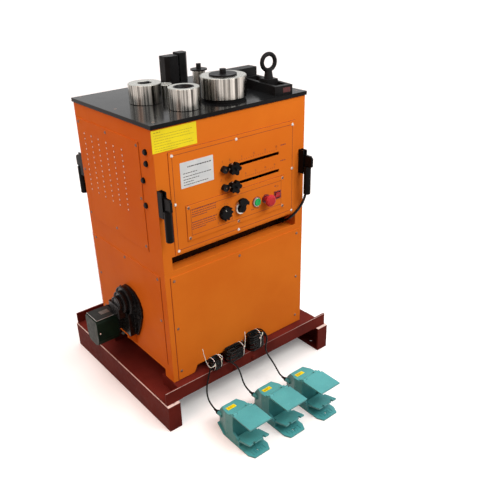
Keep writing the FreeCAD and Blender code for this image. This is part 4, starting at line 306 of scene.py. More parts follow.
looks = {
    # Orange polyester powder coat on sheet steel
    "orange": dict(name="orangePowderCoat", colour="DC7925", second="D57021", cloudMm=260, fleck="B4481A",
                   fleckMm=9, fleckFrom=0.72, fleckShare=0.2, roughness=(0.36, 0.46), grainMm=1.7,
                   grainHeightMm=0.03, waveMm=90, waveHeightMm=0.4, edgeMm=1.2,
                   constants={"Specular IOR Level": 0.025}),
    # Maroon brushed enamel on channel steel, with a pale pink line along its edges that is partly rubbed
    # paint and partly a painted highlight
    "maroon": dict(name="maroonBrushedEnamel", colour="66251E", second="561D18", cloudMm=120, fleck="7A3A30",
                   fleckMm=14, fleckFrom=0.64, fleckShare=0.35, roughness=(0.42, 0.58), grainMm=3.5,
                   grainHeightMm=0.08, edgeMm=1.5, worn=skidWear, wornColour="E0CBC2",
                   constants={"Specular IOR Level": 0.03}),
    # Black enamel of the ground table plate
    "table": dict(name="blackTableEnamel", colour="0C0C0D", second="141516", cloudMm=150, fleck="4A4A4B",
                  fleckMm=16, fleckFrom=0.68, fleckShare=0.3, roughness=(0.1, 0.2), glossMm=60,
                  grainMm=1.2, grainHeightMm=0.008, edgeMm=0.4,
                  constants={"Specular IOR Level": 0.08}),
    # Glossy black paint over rough cast iron
    "casting": dict(name="blackPaintedCasting", colour="070606", second="0C0A0A", cloudMm=45, fleck="2A2623",
                    fleckMm=7, fleckFrom=0.68, fleckShare=0.3, roughness=(0.2, 0.3), grainMm=9,
                    grainHeightMm=0.06, edgeMm=2.4, constants={"Specular IOR Level": 0.2}),
    # Hot black oxide on machined steel
    "oxide": dict(name="blackOxideSteel", colour="0F0F10", second="19191A", cloudMm=35, fleck="4A4947",
                  fleckMm=6, fleckFrom=0.70, fleckShare=0.4, roughness=(0.34, 0.5), grainMm=1.4,
                  grainHeightMm=0.03, edgeMm=0.8, constants={"Specular IOR Level": 0.1}),
    # Moulded black nylon
    "blackPlastic": dict(name="blackNylonMoulding", colour="070708", second="0C0C0D", cloudMm=30,
                         roughness=(0.28, 0.4), grainMm=0.9, grainHeightMm=0.02, edgeMm=1.0,
                         constants={"Specular IOR Level": 0.06}),
    # Red thermoplastic of the mushroom button and the rocker
    "redPlastic": dict(name="redThermoplastic", colour="BE3238", second="AE282F", cloudMm=20,
                       roughness=(0.3, 0.42), grainMm=0.7, grainHeightMm=0.01, edgeMm=0.8,
                       constants={"Specular IOR Level": 0.12}),
    # Dark red moulding of the rocker's frame; on the start button's shroud and the stop button's bezel and
    # collar this dark red is painted shadow round the buttons
    "darkRed": dict(name="darkRedMouldingAndPaintedShadow", colour="7E1418", second="6C1014", cloudMm=12,
                    roughness=(0.3, 0.42), grainMm=0.8, grainHeightMm=0.01, edgeMm=0.5),
    # Green push button lens
    "greenPlastic": dict(name="greenButtonLens", colour="0FB05C", second="0B9A4E", cloudMm=12,
                         roughness=(0.18, 0.28), grainMm=0.8, grainHeightMm=0.01,
                         constants={"Specular IOR Level": 0.2}),
    # Dark green hammered motor paint
    "motorGreen": dict(name="darkGreenMotorPaint", colour="08170E", second="0D2014", cloudMm=40,
                       fleck="060D08", fleckMm=8, fleckFrom=0.6, fleckShare=0.5, roughness=(0.34, 0.5),
                       grainMm=3.0, grainHeightMm=0.06, edgeMm=1.5,
                       constants={"Specular IOR Level": 0.12}),
    # Grey painted lid on the motor
    "motorGrey": dict(name="greyMotorLidPaint", colour="1C1F1D", second="262927", cloudMm=30,
                      fleck="565856", fleckMm=5, fleckFrom=0.64, fleckShare=0.4, roughness=(0.4, 0.55),
                      grainMm=1.6, grainHeightMm=0.03, edgeMm=1.0, constants={"Specular IOR Level": 0.15}),
    # Bare aluminium trim
    "trim": dict(name="bareAluminiumTrim", colour="C9C8C4", second="B3B1AC", cloudMm=12, fleck="8C8A84",
                 fleckMm=4, fleckFrom=0.62, fleckShare=0.3, roughness=(0.28, 0.42), grainMm=0.9,
                 grainHeightMm=0.01, constants={"Metallic": 0.9}),
    # Zinc plated screws and pins
    "zinc": dict(name="brightZincPlate", colour="DEDEDA", second="C4C4C0", cloudMm=6, fleck="96958F",
                 fleckMm=3, fleckFrom=0.66, fleckShare=0.4, roughness=(0.25, 0.4), grainMm=0.8,
                 grainHeightMm=0.01, worn=dullScrews, wornColour="6E5546", constants={"Metallic": 0.7}),
    # Steel gears and shafts, oiled
    "gear": dict(name="oiledGearSteel", colour="77756F", second="5E5C57", cloudMm=18, fleck="3A3326",
                 fleckMm=7, fleckFrom=0.6, fleckShare=0.5, roughness=(0.25, 0.4), grainMm=1.0,
                 grainHeightMm=0.02, constants={"Metallic": 1.0}),
    # Hardened cutter blades, darkened by heat
    "blade": dict(name="hardenedToolSteel", colour="6C6B6A", second="4D4C4F", cloudMm=9, fleck="8F8C88",
                  fleckMm=4, fleckFrom=0.62, fleckShare=0.5, roughness=(0.22, 0.38), grainMm=0.6,
                  grainHeightMm=0.02, constants={"Metallic": 1.0}),
    # Black rubber sheath of the cords
    "rubber": dict(name="blackRubberSheath", colour="060606", second="0B0B0B", cloudMm=25, fleck="2A2927",
                   fleckMm=8, fleckFrom=0.68, fleckShare=0.3, roughness=(0.14, 0.24), grainMm=1.2,
                   grainHeightMm=0.01, constants={"Specular IOR Level": 0.16}),
    # White nylon cable ties
    "nylon": dict(name="whiteNylonTie", colour="E9E7E0", second="D9D6CC", cloudMm=8,
                  roughness=(0.3, 0.45), grainMm=1.5, grainHeightMm=0.02,
                  constants={"Subsurface Weight": 0.15, "Subsurface Scale": 0.001}),
    # Blank silvery aluminium foil plate
    "foil": dict(name="silverFoilLabel", colour="D2DADC", second="C6D0D4", cloudMm=40, fleck="B4BEC2",
                 fleckMm=7, fleckFrom=0.66, fleckShare=0.4, roughness=(0.38, 0.5), grainMm=2.0,
                 grainHeightMm=0.01, constants={"Metallic": 0.1}),
    # Grey-brown anodised plate, worn and oily
    "worn": dict(name="wornAnodisedPlate", colour="6E675F", second="57524C", cloudMm=12, fleck="8B857B",
                 fleckMm=4, fleckFrom=0.62, fleckShare=0.5, roughness=(0.35, 0.5), grainMm=1.2,
                 grainHeightMm=0.01, constants={"Metallic": 0.5}),
    # Blank yellow vinyl stickers
    "yellow": dict(name="yellowVinylSticker", colour="EEE000", second="E4D500", cloudMm=60,
                   roughness=(0.35, 0.45), grainMm=2.5, grainHeightMm=0.01),
    # Printed brown ink of scales and rulings
    "ink": dict(name="brownScreenInk", colour="70200C", second="7E2A12", cloudMm=5, roughness=(0.45, 0.55),
                grainMm=0.8, grainHeightMm=0.01),
    # Thin, half faded ink of the two slot scales
    "fadedInk": dict(name="fadedScaleInk", colour="7E2E0C", second="8C3610", cloudMm=9,
                     roughness=(0.45, 0.55), grainMm=0.8, grainHeightMm=0.01),
    # Pressed tips of the vents, painted pale as a highlight
    "ventTipHighlight": dict(name="ventTipPaintedHighlight", colour="FFE6C8", second="F8CFA2", cloudMm=9, roughness=(0.3, 0.45),
                    grainMm=0.8, grainHeightMm=0.01),
    # Dark red paint dabbed on the end of the fence track
    "dab": dict(name="darkRedPaintDab", colour="4C1214", second="3E0E10", cloudMm=6,
                roughness=(0.4, 0.55), grainMm=1.5, grainHeightMm=0.02),
    # Dark red lines along the panels' edges: painted shade in the gaps round the panels, dark lines inside
    # their borders, and painted shade in the vent holes
    "seam": dict(name="paintedGapShadeAndBorderLines", colour="74200C", second="64190A", cloudMm=30,
                 roughness=(0.6, 0.75), grainMm=2.0, grainHeightMm=0.02),
    # Grey ink of the foil plate's ruling
    "greyInk": dict(name="greyRulingInk", colour="3C4144", second="4A4F52", cloudMm=5,
                    roughness=(0.5, 0.6), grainMm=0.8, grainHeightMm=0.01),
    # Olive ink of the yellow stickers' ruling
    "oliveInk": dict(name="oliveRulingInk", colour="9A8F10", second="A89C18", cloudMm=5,
                     roughness=(0.5, 0.6), grainMm=0.8, grainHeightMm=0.01),
}

finishes = {key: makeSurface(look) for key, look in looks.items()}
finishes["floor"] = makeFloor(dict(
    name="paleStudioFloor", colour="F6F6F5", second="F3F3F2", bounce="8A7468", lift=0.14, cloudMm=900,
    grainMm=3, grainHeightMm=0.01, roughness=0.75, constants={"Specular IOR Level": 0.1}))

# Teal hammered paint on cast aluminium
finishes["teal"] = makeHammered(dict(
    name="tealHammeredCasting", colour="4EA3A6", second="46989C", cloudMm=80, cellMm=2.6,
    cellHeightMm=0.08, valley="3A878B", valleyShare=0.35, scuff="86C4C3", scuffMm=30, scuffShare=0.3,
    roughness=(0.34, 0.48), edgeMm=1.6, constants={"Specular IOR Level": 0.4}))

# Cylindrically ground and oiled steel: broad dark and bright bands round the side as a painted reflection,
# turned rings on top, and a top painted lighter as if lit from above
groundSteelAndReflection = dict(dark="24221E", light="E6E3DA", paintedLitTopDark="A3A198", paintedLitTopLight="C9C7BF", stain="6B5F49",
                   stainMm=30, stainShare=0.2, paintedReflectionAngle=2.2276, reflectionBands=2.6, streaks=14.0,
                   ringsPerMetre=900.0, driftPerMetre=3.0, streakHeightMm=0.01, edgeMm=0.8,
                   roughness=(0.18, 0.3), constants={"Metallic": 1.0})
rollerCentres = {
    "centreFormer": [dict(x=20, y=-182)],
    "bendingRoller": [dict(x=20, y=-56)],
    "looseFormers": [dict(x=-98, y=-36), dict(x=-176, y=-44, along=0, below=-122),
                     dict(x=-135, y=-194, along=1, below=-110)],
}
for key, centres in rollerCentres.items():
    finishes[key] = makeGroundSteel(dict(groundSteelAndReflection, name=key + "GroundSteelPaintedReflection"), centres)

nodeFinishes = {
    "maroon": ("skid_runners", "cross_rails", "deck_plate"),
    "orange": ("base_frame", "base_front_panel", "side_panels", "upper_shell", "control_panel",
               "vent_panels", "switch_plate"),
    "table": ("table_plate",),
    "casting": ("gearbox_housing", "gear_casing"),
    "motorGreen": ("motor_housing",),
    "gear": ("motor_armature", "drive_shaft", "spindle_gear"),
    "centreFormer": ("centre_former",),
    "bendingRoller": ("bending_roller",),
    "looseFormers": ("loose_formers",),
    "blade": ("fixed_blade", "moving_blade"),
    "oxide": ("bending_disc", "roller_pins", "fixed_jaw", "moving_jaw", "fence_bar", "fence_track",
              "track_slider", "eye_bolt", "upper_stop_slider", "lower_stop_slider"),
    "blackPlastic": ("hole_plugs", "upper_star_knob", "lower_star_knob", "switch_bezels", "speed_knob",
                     "selector_lever", "front_left_handle", "front_right_handle", "back_left_handle",
                     "back_right_handle", "handle_brackets", "mains_plug"),
    "greenPlastic": ("start_button",),
    "redPlastic": ("stop_button", "power_rocker"),
    "teal": ("treadle_one", "treadle_two", "treadle_three", "guard_one", "guard_two", "guard_three",
             "pedal_housings"),
    "zinc": ("cabinet_screws",),
    "rubber": ("pedal_cords", "pedal_coils", "mains_cord", "mains_coil"),
}
for finish, nodeNames in nodeFinishes.items():
    for nodeName in nodeNames:
        for place in frame["nodes"][nodeName].material_slots:
            place.material = finishes[finish]
print("stage: finishes", len(finishes))


# Building helpers: each piece is one mesh made from parts placed on a face of the machine
facings = {
    "front": ((1, 0, 0), (0, 0, 1), (0, -1, 0)),
    "back": ((-1, 0, 0), (0, 0, 1), (0, 1, 0)),
    "left": ((0, -1, 0), (0, 0, 1), (-1, 0, 0)),
    "right": ((0, 1, 0), (0, 0, 1), (1, 0, 0)),
    "top": ((1, 0, 0), (0, 1, 0), (0, 0, 1)),
}


def facing(name, x, y, z, turn=0.0):
    across, up, out = facings[name]
    matrix = Matrix((across, up, out)).transposed().to_4x4()
    return Matrix.Translation(Vector((x, y, z)) * mm) @ matrix @ Matrix.Rotation(math.radians(turn), 4, "Z")


def rectangle(width, height, x=0.0, y=0.0):
    return [(x - width / 2, y - height / 2), (x + width / 2, y - height / 2),
            (x + width / 2, y + height / 2), (x - width / 2, y + height / 2)]


def roundedOutline(width, height, corner, steps=5):
    points = []
    for signX, signY, start in ((1, 1, 0), (-1, 1, 90), (-1, -1, 180), (1, -1, 270)):
        for step in range(steps + 1):
            angle = math.radians(start + 90 * step / steps)
            points.append((signX * (width / 2 - corner) + corner * math.cos(angle),
                           signY * (height / 2 - corner) + corner * math.sin(angle)))
    return points


def circleOutline(radius, sides, turn=0.0):
    return [(radius * math.cos(2 * math.pi * side / sides + turn),
             radius * math.sin(2 * math.pi * side / sides + turn)) for side in range(sides)]


def addPrism(mesh, outline, low, high, matrix):
    bottom = [mesh.verts.new(matrix @ Vector((x * mm, y * mm, low * mm))) for x, y in outline]
    top = [mesh.verts.new(matrix @ Vector((x * mm, y * mm, high * mm))) for x, y in outline]
    mesh.faces.new(list(reversed(bottom)))
    mesh.faces.new(top)
    count = len(outline)
    for index in range(count):
        after = (index + 1) % count
        mesh.faces.new((bottom[index], bottom[after], top[after], top[index]))


def addLathe(mesh, profile, matrix, steps=32):
    rings = []
    for radius, height in profile:
        if radius < 1e-6:
            rings.append([mesh.verts.new(matrix @ Vector((0, 0, height * mm)))])
            continue
        rings.append([mesh.verts.new(matrix @ Vector((x * mm, y * mm, height * mm)))
                      for x, y in circleOutline(radius, steps)])
    for first, second in zip(rings, rings[1:]):
        for step in range(steps):
            after = (step + 1) % steps
            corners = [first[step % len(first)], first[after % len(first)],
                       second[after % len(second)], second[step % len(second)]]
            unique = list(dict.fromkeys(corners))
            if len(unique) >= 3:
                mesh.faces.new(unique)


def addFrame(mesh, width, height, band, low, high, matrix):
    between = height - 2 * band
    bars = [(width, band, 0, (height - band) / 2), (width, band, 0, (band - height) / 2),
            (band, between, (width - band) / 2, 0), (band, between, (band - width) / 2, 0)]
    for wide, tall, x, y in bars:
        addPrism(mesh, rectangle(wide, tall, x, y), low, high, matrix)


# A line of printed dashes in the manner of ruled text, without letters
def addDashes(mesh, chance, start, end, y, tall, matrix):
    x = start
    while x < end - 2:
        long = min(chance.uniform(3.0, 9.0), end - x)
        addPrism(mesh, rectangle(long, tall, x + long / 2, y), -0.05, 0.12, matrix)
        x += long + chance.uniform(1.2, 2.2)


# Each digit's strokes by letter, and each stroke's place and whether it lies flat
digitStrokes = {"0": "abcdef", "1": "bc", "2": "abged", "3": "abgcd", "4": "fgbc", "5": "afgcd",
                "6": "afgcde", "7": "abc", "8": "abcdefg", "9": "abcdfg"}
strokeBars = {
    "a": (0.0, 1.0, True), "b": (0.5, 0.5, False), "c": (0.5, -0.5, False), "d": (0.0, -1.0, True),
    "e": (-0.5, -0.5, False), "f": (-0.5, 0.5, False), "g": (0.0, 0.0, True),
}


def addNumber(mesh, text, x, y, height, matrix):
    unit, thick = height / 2, height * 0.16
    for place, digit in enumerate(text):
        middle = x + (place - (len(text) - 1) / 2) * height * 0.85
        for letter in digitStrokes[digit]:
            barX, barY, flat = strokeBars[letter]
            size = (unit + thick, thick) if flat else (thick, unit + thick)
            outline = rectangle(size[0], size[1], middle + barX * unit, y + barY * unit)
            addPrism(mesh, outline, -0.05, 0.12, matrix)


# A smooth line through the given points, then a flat strip or a round bead swept along it
def smoothLine(points, perSpan=6):
    spots = [Vector(point) for point in points]
    spots = [2 * spots[0] - spots[1]] + spots + [2 * spots[-1] - spots[-2]]
    line = []
    for index in range(1, len(spots) - 2):
        before, start, end, after = spots[index - 1:index + 3]
        for step in range(perSpan):
            share = step / perSpan
            line.append(0.5 * (2 * start + (end - before) * share
                               + (2 * before - 5 * start + 4 * end - after) * share ** 2
                               + (3 * start - before - 3 * end + after) * share ** 3))
    return line + [spots[-2]]


def addSweep(mesh, line, section, side, closed=False):
    rings = []
    count = len(line)
    for index, spot in enumerate(line):
        before = line[(index - 1) % count] if closed else line[max(index - 1, 0)]
        after = line[(index + 1) % count] if closed else line[min(index + 1, count - 1)]
        way = (after - before).normalized()
        out = way.cross(Vector(side)).normalized()
        across = out.cross(way)
        rings.append([mesh.verts.new((spot + across * x + out * y) * mm) for x, y in section])
    pairs = list(zip(rings, rings[1:])) + ([(rings[-1], rings[0])] if closed else [])
    sides = len(section)
    for first, second in pairs:
        for index in range(sides):
            after = (index + 1) % sides
            mesh.faces.new((first[index], first[after], second[after], second[index]))
    if not closed:
        mesh.faces.new(list(reversed(rings[0])))
        mesh.faces.new(rings[-1])


def finishPiece(name, mesh, finish, body="base", bevelMm=0.0, smooth=False):
    bmesh.ops.recalc_face_normals(mesh, faces=mesh.faces)
    data = bpy.data.meshes.new(name)
    mesh.to_mesh(data)
    mesh.free()
    piece = bpy.data.objects.new(name, data)
    bpy.context.scene.collection.objects.link(piece)
    data.materials.append(finishes[finish])
    if smooth:
        data.shade_smooth()
    if bevelMm:
        softener = piece.modifiers.new("softEdges", "BEVEL")
        softener.width = bevelMm * mm
        softener.segments = 2
        softener.limit_method = "ANGLE"
    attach(piece, body)
    return piece


def frontPlate(name, plate):
    mesh = bmesh.new()
    outline = roundedOutline(plate["size"][0], plate["size"][1], plate["corner"])
    addPrism(mesh, outline, 0.0, plate["thick"], facing("front", *plate["centre"]))
    finishPiece(name, mesh, plate["finish"])


def ruling(name, rules):
    mesh = bmesh.new()
    matrix = facing("front", 0, rules["faceY"], 0)
    chance = random.Random(rules["seed"])
    for start, end, z, tall in rules["lines"]:
        addDashes(mesh, chance, start, end, z, tall, matrix)
    finishPiece(name, mesh, rules["finish"])


# Dark red lines: painted shade in the gaps round the panels, and lines inside their borders
def panelSeams(seams):
    mesh = bmesh.new()
    for side, centre, size, band in seams["frames"]:
        addFrame(mesh, size[0], size[1], band, -0.2, 0.2, facing(side, *centre))
    for side, centre, size in seams["bars"]:
        addPrism(mesh, rectangle(*size), -0.2, 0.2, facing(side, *centre))
    finishPiece("panelSeams", mesh, "seam")


seams = dict(
    frames=[("front", (-22.5, -290, 772), (493, 322), 1.6), ("front", (-22.5, -292, 772), (469, 298), 1.2),
            ("front", (-22.5, -292, 700.5), (399, 117), 1.6), ("front", (-22.5, -294, 700.5), (367, 85), 1.0),
            ("back", (-24, 182, 783), (540, 350), 1.6)],
    bars=[("front", (-294.8, -290, 345), (1.4, 388)), ("front", (250.8, -290, 345), (1.4, 388)),
          ("left", (-314, -262.8, 374), (1.4, 332)), ("left", (-314, 184.6, 374), (1.2, 332)),
          ("left", (-314, -213.2, 783), (1.6, 350)), ("left", (-314, 173.2, 783), (1.6, 350)),
          ("right", (266, -213.2, 783), (1.6, 350)), ("right", (266, 173.2, 783), (1.6, 350)),
          ("right", (266, -262.8, 374), (1.4, 332))],
)
panelSeams(seams)

frontPlate("foilPlate", dict(centre=(-172.3, -292, 853.7), size=(119, 78), corner=1.5, thick=0.5,
                             finish="foil"))
ruling("foilRuling", dict(faceY=-292.5, seed=3, finish="greyInk", lines=[
    (-206, -118, 876.5, 3.4), (-222, -172, 858.5, 2.4), (-222, -122, 848.5, 2.4), (-222, -164, 839.5, 2.4),
    (-222, -186, 831.5, 2.4), (-222, -134, 823.5, 2.4)]))
frontPlate("yellowSticker", dict(centre=(-240.5, -290, 970), size=(151, 64), corner=1.0, thick=0.4,
                                 finish="yellow"))
ruling("stickerRuling", dict(faceY=-290.4, seed=5, finish="oliveInk", lines=[
    (-308, -286, 995, 2.2), (-308, -178, 987, 1.2), (-308, -190, 979.5, 1.2), (-308, -174, 972, 1.2),
    (-308, -250, 964.5, 1.2), (-308, -182, 957, 1.2), (-308, -176, 949.5, 1.2), (-308, -232, 943, 1.2)]))
ruling("switchRuling", dict(faceY=-294.0, seed=8, finish="ink", lines=[
    (-201, -108, 740.5, 3.4), (-201, -112, 732.5, 2.8), (-202, -110, 725.5, 2.8), (-202, -146, 718.5, 2.8),
    (-203, -110, 699.5, 3.4), (-203, -114, 692, 2.8), (-204, -109, 685, 2.8), (-204, -152, 678, 2.8),
    (30, 41, 674.5, 3.0), (53, 65, 674, 3.0), (131, 142, 729.5, 3.0)]))
ruling("slotWords", dict(faceY=-292.0, seed=11, finish="ink", lines=[
    (159, 181, 862, 3.6), (159, 181, 810, 3.6)]))
print("stage: panels and labels")


# Tick scales with plain numbers over the two slots, a dial round the speed knob, and small marks
def printedScales(scales):
    mesh = bmesh.new()
    matrix = facing("front", 0, scales["faceY"], 0)
    for scale in scales["slots"]:
        step = (scale["end"] - scale["start"]) / scale["count"]
        for tick in range(scale["count"] + 1):
            tall = 6.0 if tick % 5 == 0 else 3.6
            x = scale["start"] + tick * step
            addPrism(mesh, rectangle(1.5, tall, x, scale["z"] + tall / 2), -0.05, 0.12, matrix)
            if tick % 5 == 0:
                addNumber(mesh, str(tick), x, scale["z"] + 12.0, 5.0, matrix)
    for text, x, z, height in scales["numbers"]:
        addNumber(mesh, text, x, z, height, matrix)
    finishPiece("slotScales", mesh, "fadedInk")


printedScales(dict(faceY=-292.0, slots=[dict(start=-50, end=140, z=850, count=20),
                                        dict(start=12, end=132, z=792, count=15)],
                   numbers=[("1", -80, 862, 6.5), ("2", -86, 804, 6.5)]))


def speedDial(dial):
    mesh = bmesh.new()
    matrix = facing("front", *dial["centre"])
    for tick in range(dial["count"]):
        turn = math.radians(225 - tick * 270 / (dial["count"] - 1))
        marked = matrix @ Matrix.Rotation(turn, 4, "Z")
        addPrism(mesh, rectangle(dial["long"], 0.9, dial["radius"], 0), -0.05, 0.12, marked)
    for text, x, z in dial["numbers"]:
        addNumber(mesh, text, x, z, 5.0, matrix)
    finishPiece("speedDial", mesh, "ink")


speedDial(dict(centre=(-78.08, -294, 697), radius=30, long=4.5, count=11,
               numbers=[("0", -26, -29), ("10", 27, -29), ("1", 214, 30), ("0", 224, 30)]))


# Rows of punched ventilation holes with raised lips: the lips' pale colour is a painted highlight, and the
# dark disc round each lip is painted shade in the hole
def ventHoles(name, vents):
    lips = bmesh.new()
    holeShade = bmesh.new()
    for y in vents["columns"]:
        for row in range(vents["rows"]):
            spot = facing(vents["side"], vents["x"], y, vents["top"] - row * vents["pitch"])
            addLathe(lips, [(3.1, -0.1), (2.9, 0.7), (1.9, 1.1), (0, 1.2)], spot, 14)
            addPrism(holeShade, circleOutline(4.4, 14), -0.1, 0.1, spot)
    finishPiece(name + "LipHighlights", lips, "ventTipHighlight", smooth=True)
    finishPiece(name + "HoleShade", holeShade, "seam")


ventRows = dict(columns=(128, 80, 33, -17, -63, -114), rows=12, top=912, pitch=17.5)
ventHoles("leftVent", dict(ventRows, side="left", x=-316))
ventHoles("rightVent", dict(ventRows, side="right", x=268))


# Trim of the control row
def bezelRing(name, ring):
    mesh = bmesh.new()
    addLathe(mesh, ring["profile"], facing("front", *ring["centre"]), 48)
    finishPiece(name, mesh, ring["finish"], ring.get("body", "base"), smooth=True)


rings = {
    "selectorBezel": dict(centre=(-16.94, -294, 697), finish="trim", profile=[
        (20.4, 0), (20.4, 6.8), (19.4, 8.3), (15.0, 8.3), (13.6, 7.2), (13.6, 5.5)]),
    # The start shroud's dark red ring is painted shadow round the button
    "startShroudShadow": dict(centre=(52.14, -294, 697), finish="darkRed", profile=[
        (17.4, 0), (17.4, 2.4), (16.4, 3.2), (14.9, 3.2), (14.9, 0)]),
    "startBezel": dict(centre=(52.14, -294, 697), finish="trim", profile=[
        (15.3, 0), (15.3, 5.2), (14.2, 6.4), (12.6, 6.4), (11.8, 5.4), (11.8, 3)]),
    # The stop bezel's and collar's dark red is painted shadow under the mushroom
    "stopBezelShadow": dict(centre=(91.84, -294, 697), finish="darkRed", profile=[
        (15.3, 0), (15.3, 4.2), (14.3, 5.3), (10.2, 5.3), (9.3, 4.5), (9.3, 2)]),
    "stopCollarShadow": dict(centre=(91.84, -299, 697), finish="darkRed", body="stop", profile=[
        (9.1, 6.5), (10.8, 6.9), (11.6, 10), (13.2, 14), (15.0, 16.4)]),
    "upperStopNut": dict(centre=(-47, -295, 838), finish="trim", body="upper_stop", profile=[
        (9.3, 0.2), (9.3, 5.0), (13.6, 5.4), (13.6, 8.4), (12.8, 9.2), (9.3, 9.2)]),
    "lowerStopNut": dict(centre=(-47, -295, 779.5), finish="trim", body="lower_stop", profile=[
        (9.3, 0.2), (9.3, 5.0), (13.6, 5.4), (13.6, 8.4), (12.8, 9.2), (9.3, 9.2)]),
    "upperStopStud": dict(centre=(-75, -305, 838), finish="zinc", body="upper_stop", profile=[
        (2.1, -0.4), (2.1, 0.8), (1.4, 1.4), (0, 1.6)]),
    "lowerStopStud": dict(centre=(-75, -305, 779.5), finish="zinc", body="lower_stop", profile=[
        (2.1, -0.4), (2.1, 0.8), (1.4, 1.4), (0, 1.6)]),
}
for name, ring in rings.items():
    bezelRing(name, ring)


# Finger ribs round the speed knob and its white pointer
def speedKnobGrip(knob):
    mesh = bmesh.new()
    for rib in range(knob["ribs"]):
        turned = facing("front", *knob["centre"]) @ Matrix.Rotation(2 * math.pi * rib / knob["ribs"], 4, "Z")
        addPrism(mesh, rectangle(4.4, 5.0, knob["radius"], 0), knob["low"], knob["high"], turned)
    finishPiece("speedKnobRibs", mesh, "blackPlastic", "speed_knob", bevelMm=0.5)
    pointer = bmesh.new()
    face = facing("front", *knob["centre"]) @ Matrix.Rotation(math.radians(115), 4, "Z")
    addPrism(pointer, rectangle(7, 1.6, 12.5, 0), knob["face"] - 0.1, knob["face"] + 0.2, face)
    finishPiece("speedKnobPointer", pointer, "nylon", "speed_knob")


speedKnobGrip(dict(centre=(-78.08, -296, 697), ribs=10, radius=21.6, low=1.2, high=12.4, face=13))


# Broad curved wing of the selector, standing off to the upper right of its hub
def selectorGrip(grip):
    mesh = bmesh.new()
    addPrism(mesh, grip["outline"], 0.0, grip["thick"], facing("front", *grip["centre"]))
    finishPiece("selectorGrip", mesh, "blackPlastic", "selector", bevelMm=1.6)


selectorGrip(dict(centre=(-16.94, -303, 697), thick=9.5, outline=[
    (-9, 12), (-14.7, 29.9), (-6.2, 34.5), (4.4, 34.5), (14.9, 29.8), (26.8, 17.1), (25.1, 6.9),
    (8.8, 12.7)]))


def rockerFrame(rocker):
    mesh = bmesh.new()
    wide, tall = rocker["size"]
    addFrame(mesh, wide, tall, rocker["band"], 0.0, rocker["proud"], facing("front", *rocker["centre"]))
    finishPiece("rockerFrame", mesh, "darkRed", bevelMm=0.6)


rockerFrame(dict(centre=(143.45, -294, 697), size=(29.4, 28.4), band=3.2, proud=2.4))
print("stage: controls")


# Formers and roller turned smooth: ground side, broken edges, and a bore through
def turnedRoller(roller):
    mesh = bmesh.new()
    for part in roller["parts"]:
        radius, bore, tall, edge = part["radius"], part["bore"], part["tall"], roller["edge"]
        if "waist" in part:
            narrow, rimFoot = radius - part["waist"], tall - part["rim"]
            side = [(narrow, 0.0), (narrow, rimFoot), (radius, rimFoot)]
        else:
            side = [(radius - edge, 0.0), (radius, edge), (radius, edge + 0.5)]
        profile = side + [(radius, tall - edge), (radius - edge, tall), (bore + edge, tall),
                          (bore, tall - edge), (bore, edge), (bore + edge, 0.0), side[0]]
        addLathe(mesh, profile, facing("top", *part["centre"]), 96)
    piece = finishPiece(roller["name"], mesh, roller["finish"], roller["body"])
    piece.data.shade_smooth()
    piece.data.set_sharp_from_angle(angle=math.radians(35))
    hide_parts(roller["node"])


for roller in (
        dict(name="turnedCentreFormer", node="centre_former", body="centre_former", finish="centreFormer",
             edge=1.2, parts=[dict(centre=(20, -182, 1026.2), radius=71.7, bore=10.05, tall=64)]),
        dict(name="turnedBendingRoller", node="bending_roller", body="bending_roller",
             finish="bendingRoller", edge=0.8,
             parts=[dict(centre=(20, -56, 1026.2), radius=20, bore=8.05, tall=62)]),
        dict(name="turnedLooseFormers", node="loose_formers", body="base", finish="looseFormers", edge=1.2,
             parts=[dict(centre=(-176, -44, 1018), radius=51.5, bore=21.5, tall=58.6),
                    dict(centre=(-135, -194, 1018), radius=47.2, bore=31, tall=62.6),
                    dict(centre=(-98, -36, 1018), radius=22, bore=9, tall=42, waist=4, rim=12)])):
    turnedRoller(dict(roller, slot=nodeSlots[roller["node"]]))


# Inserts seen in the bores of the loose formers
def formerInserts(inserts):
    for insert in inserts:
        mesh = bmesh.new()
        place = facing("top", *insert["centre"])
        addLathe(mesh, insert["profile"], place, 40)
        if insert.get("blade"):
            addPrism(mesh, rectangle(*insert["blade"]), insert["bladeLow"], insert["bladeHigh"], place)
        finishPiece(insert["name"], mesh, insert["finish"], smooth=True)


formerInserts([
    dict(name="leftFormerInsert", centre=(-176, -44, 1018), finish="oxide", blade=(30, 12),
         bladeLow=50, bladeHigh=60.5, profile=[(21.4, 1), (21.4, 52), (20.6, 53), (0, 53)]),
    dict(name="frontFormerLiner", centre=(-135, -194, 1018), finish="oxide",
         profile=[(30.9, 1), (30.9, 62), (30.2, 62.9), (27.5, 62.9), (26.6, 62), (26.6, 1)]),
])


# Red painted end of the fence track
def trackEnd(end):
    mesh = bmesh.new()
    turn = math.radians(end["turn"])
    across = Vector((math.cos(turn), math.sin(turn), 0))
    spot = Vector(end["corner"]) + across * end["inward"]
    matrix = Matrix.Translation(spot * mm) @ Matrix.Rotation(turn, 4, "Z") @ facing("front", 0, 0, 0)
    addPrism(mesh, roundedOutline(end["size"][0], end["size"][1], 1.5), -0.1, 0.5, matrix)
    finishPiece("trackEndPaint", mesh, "dab")


trackEnd(dict(corner=(152.5, -273, 1031), inward=44, turn=-7.5, size=(28, 15)))
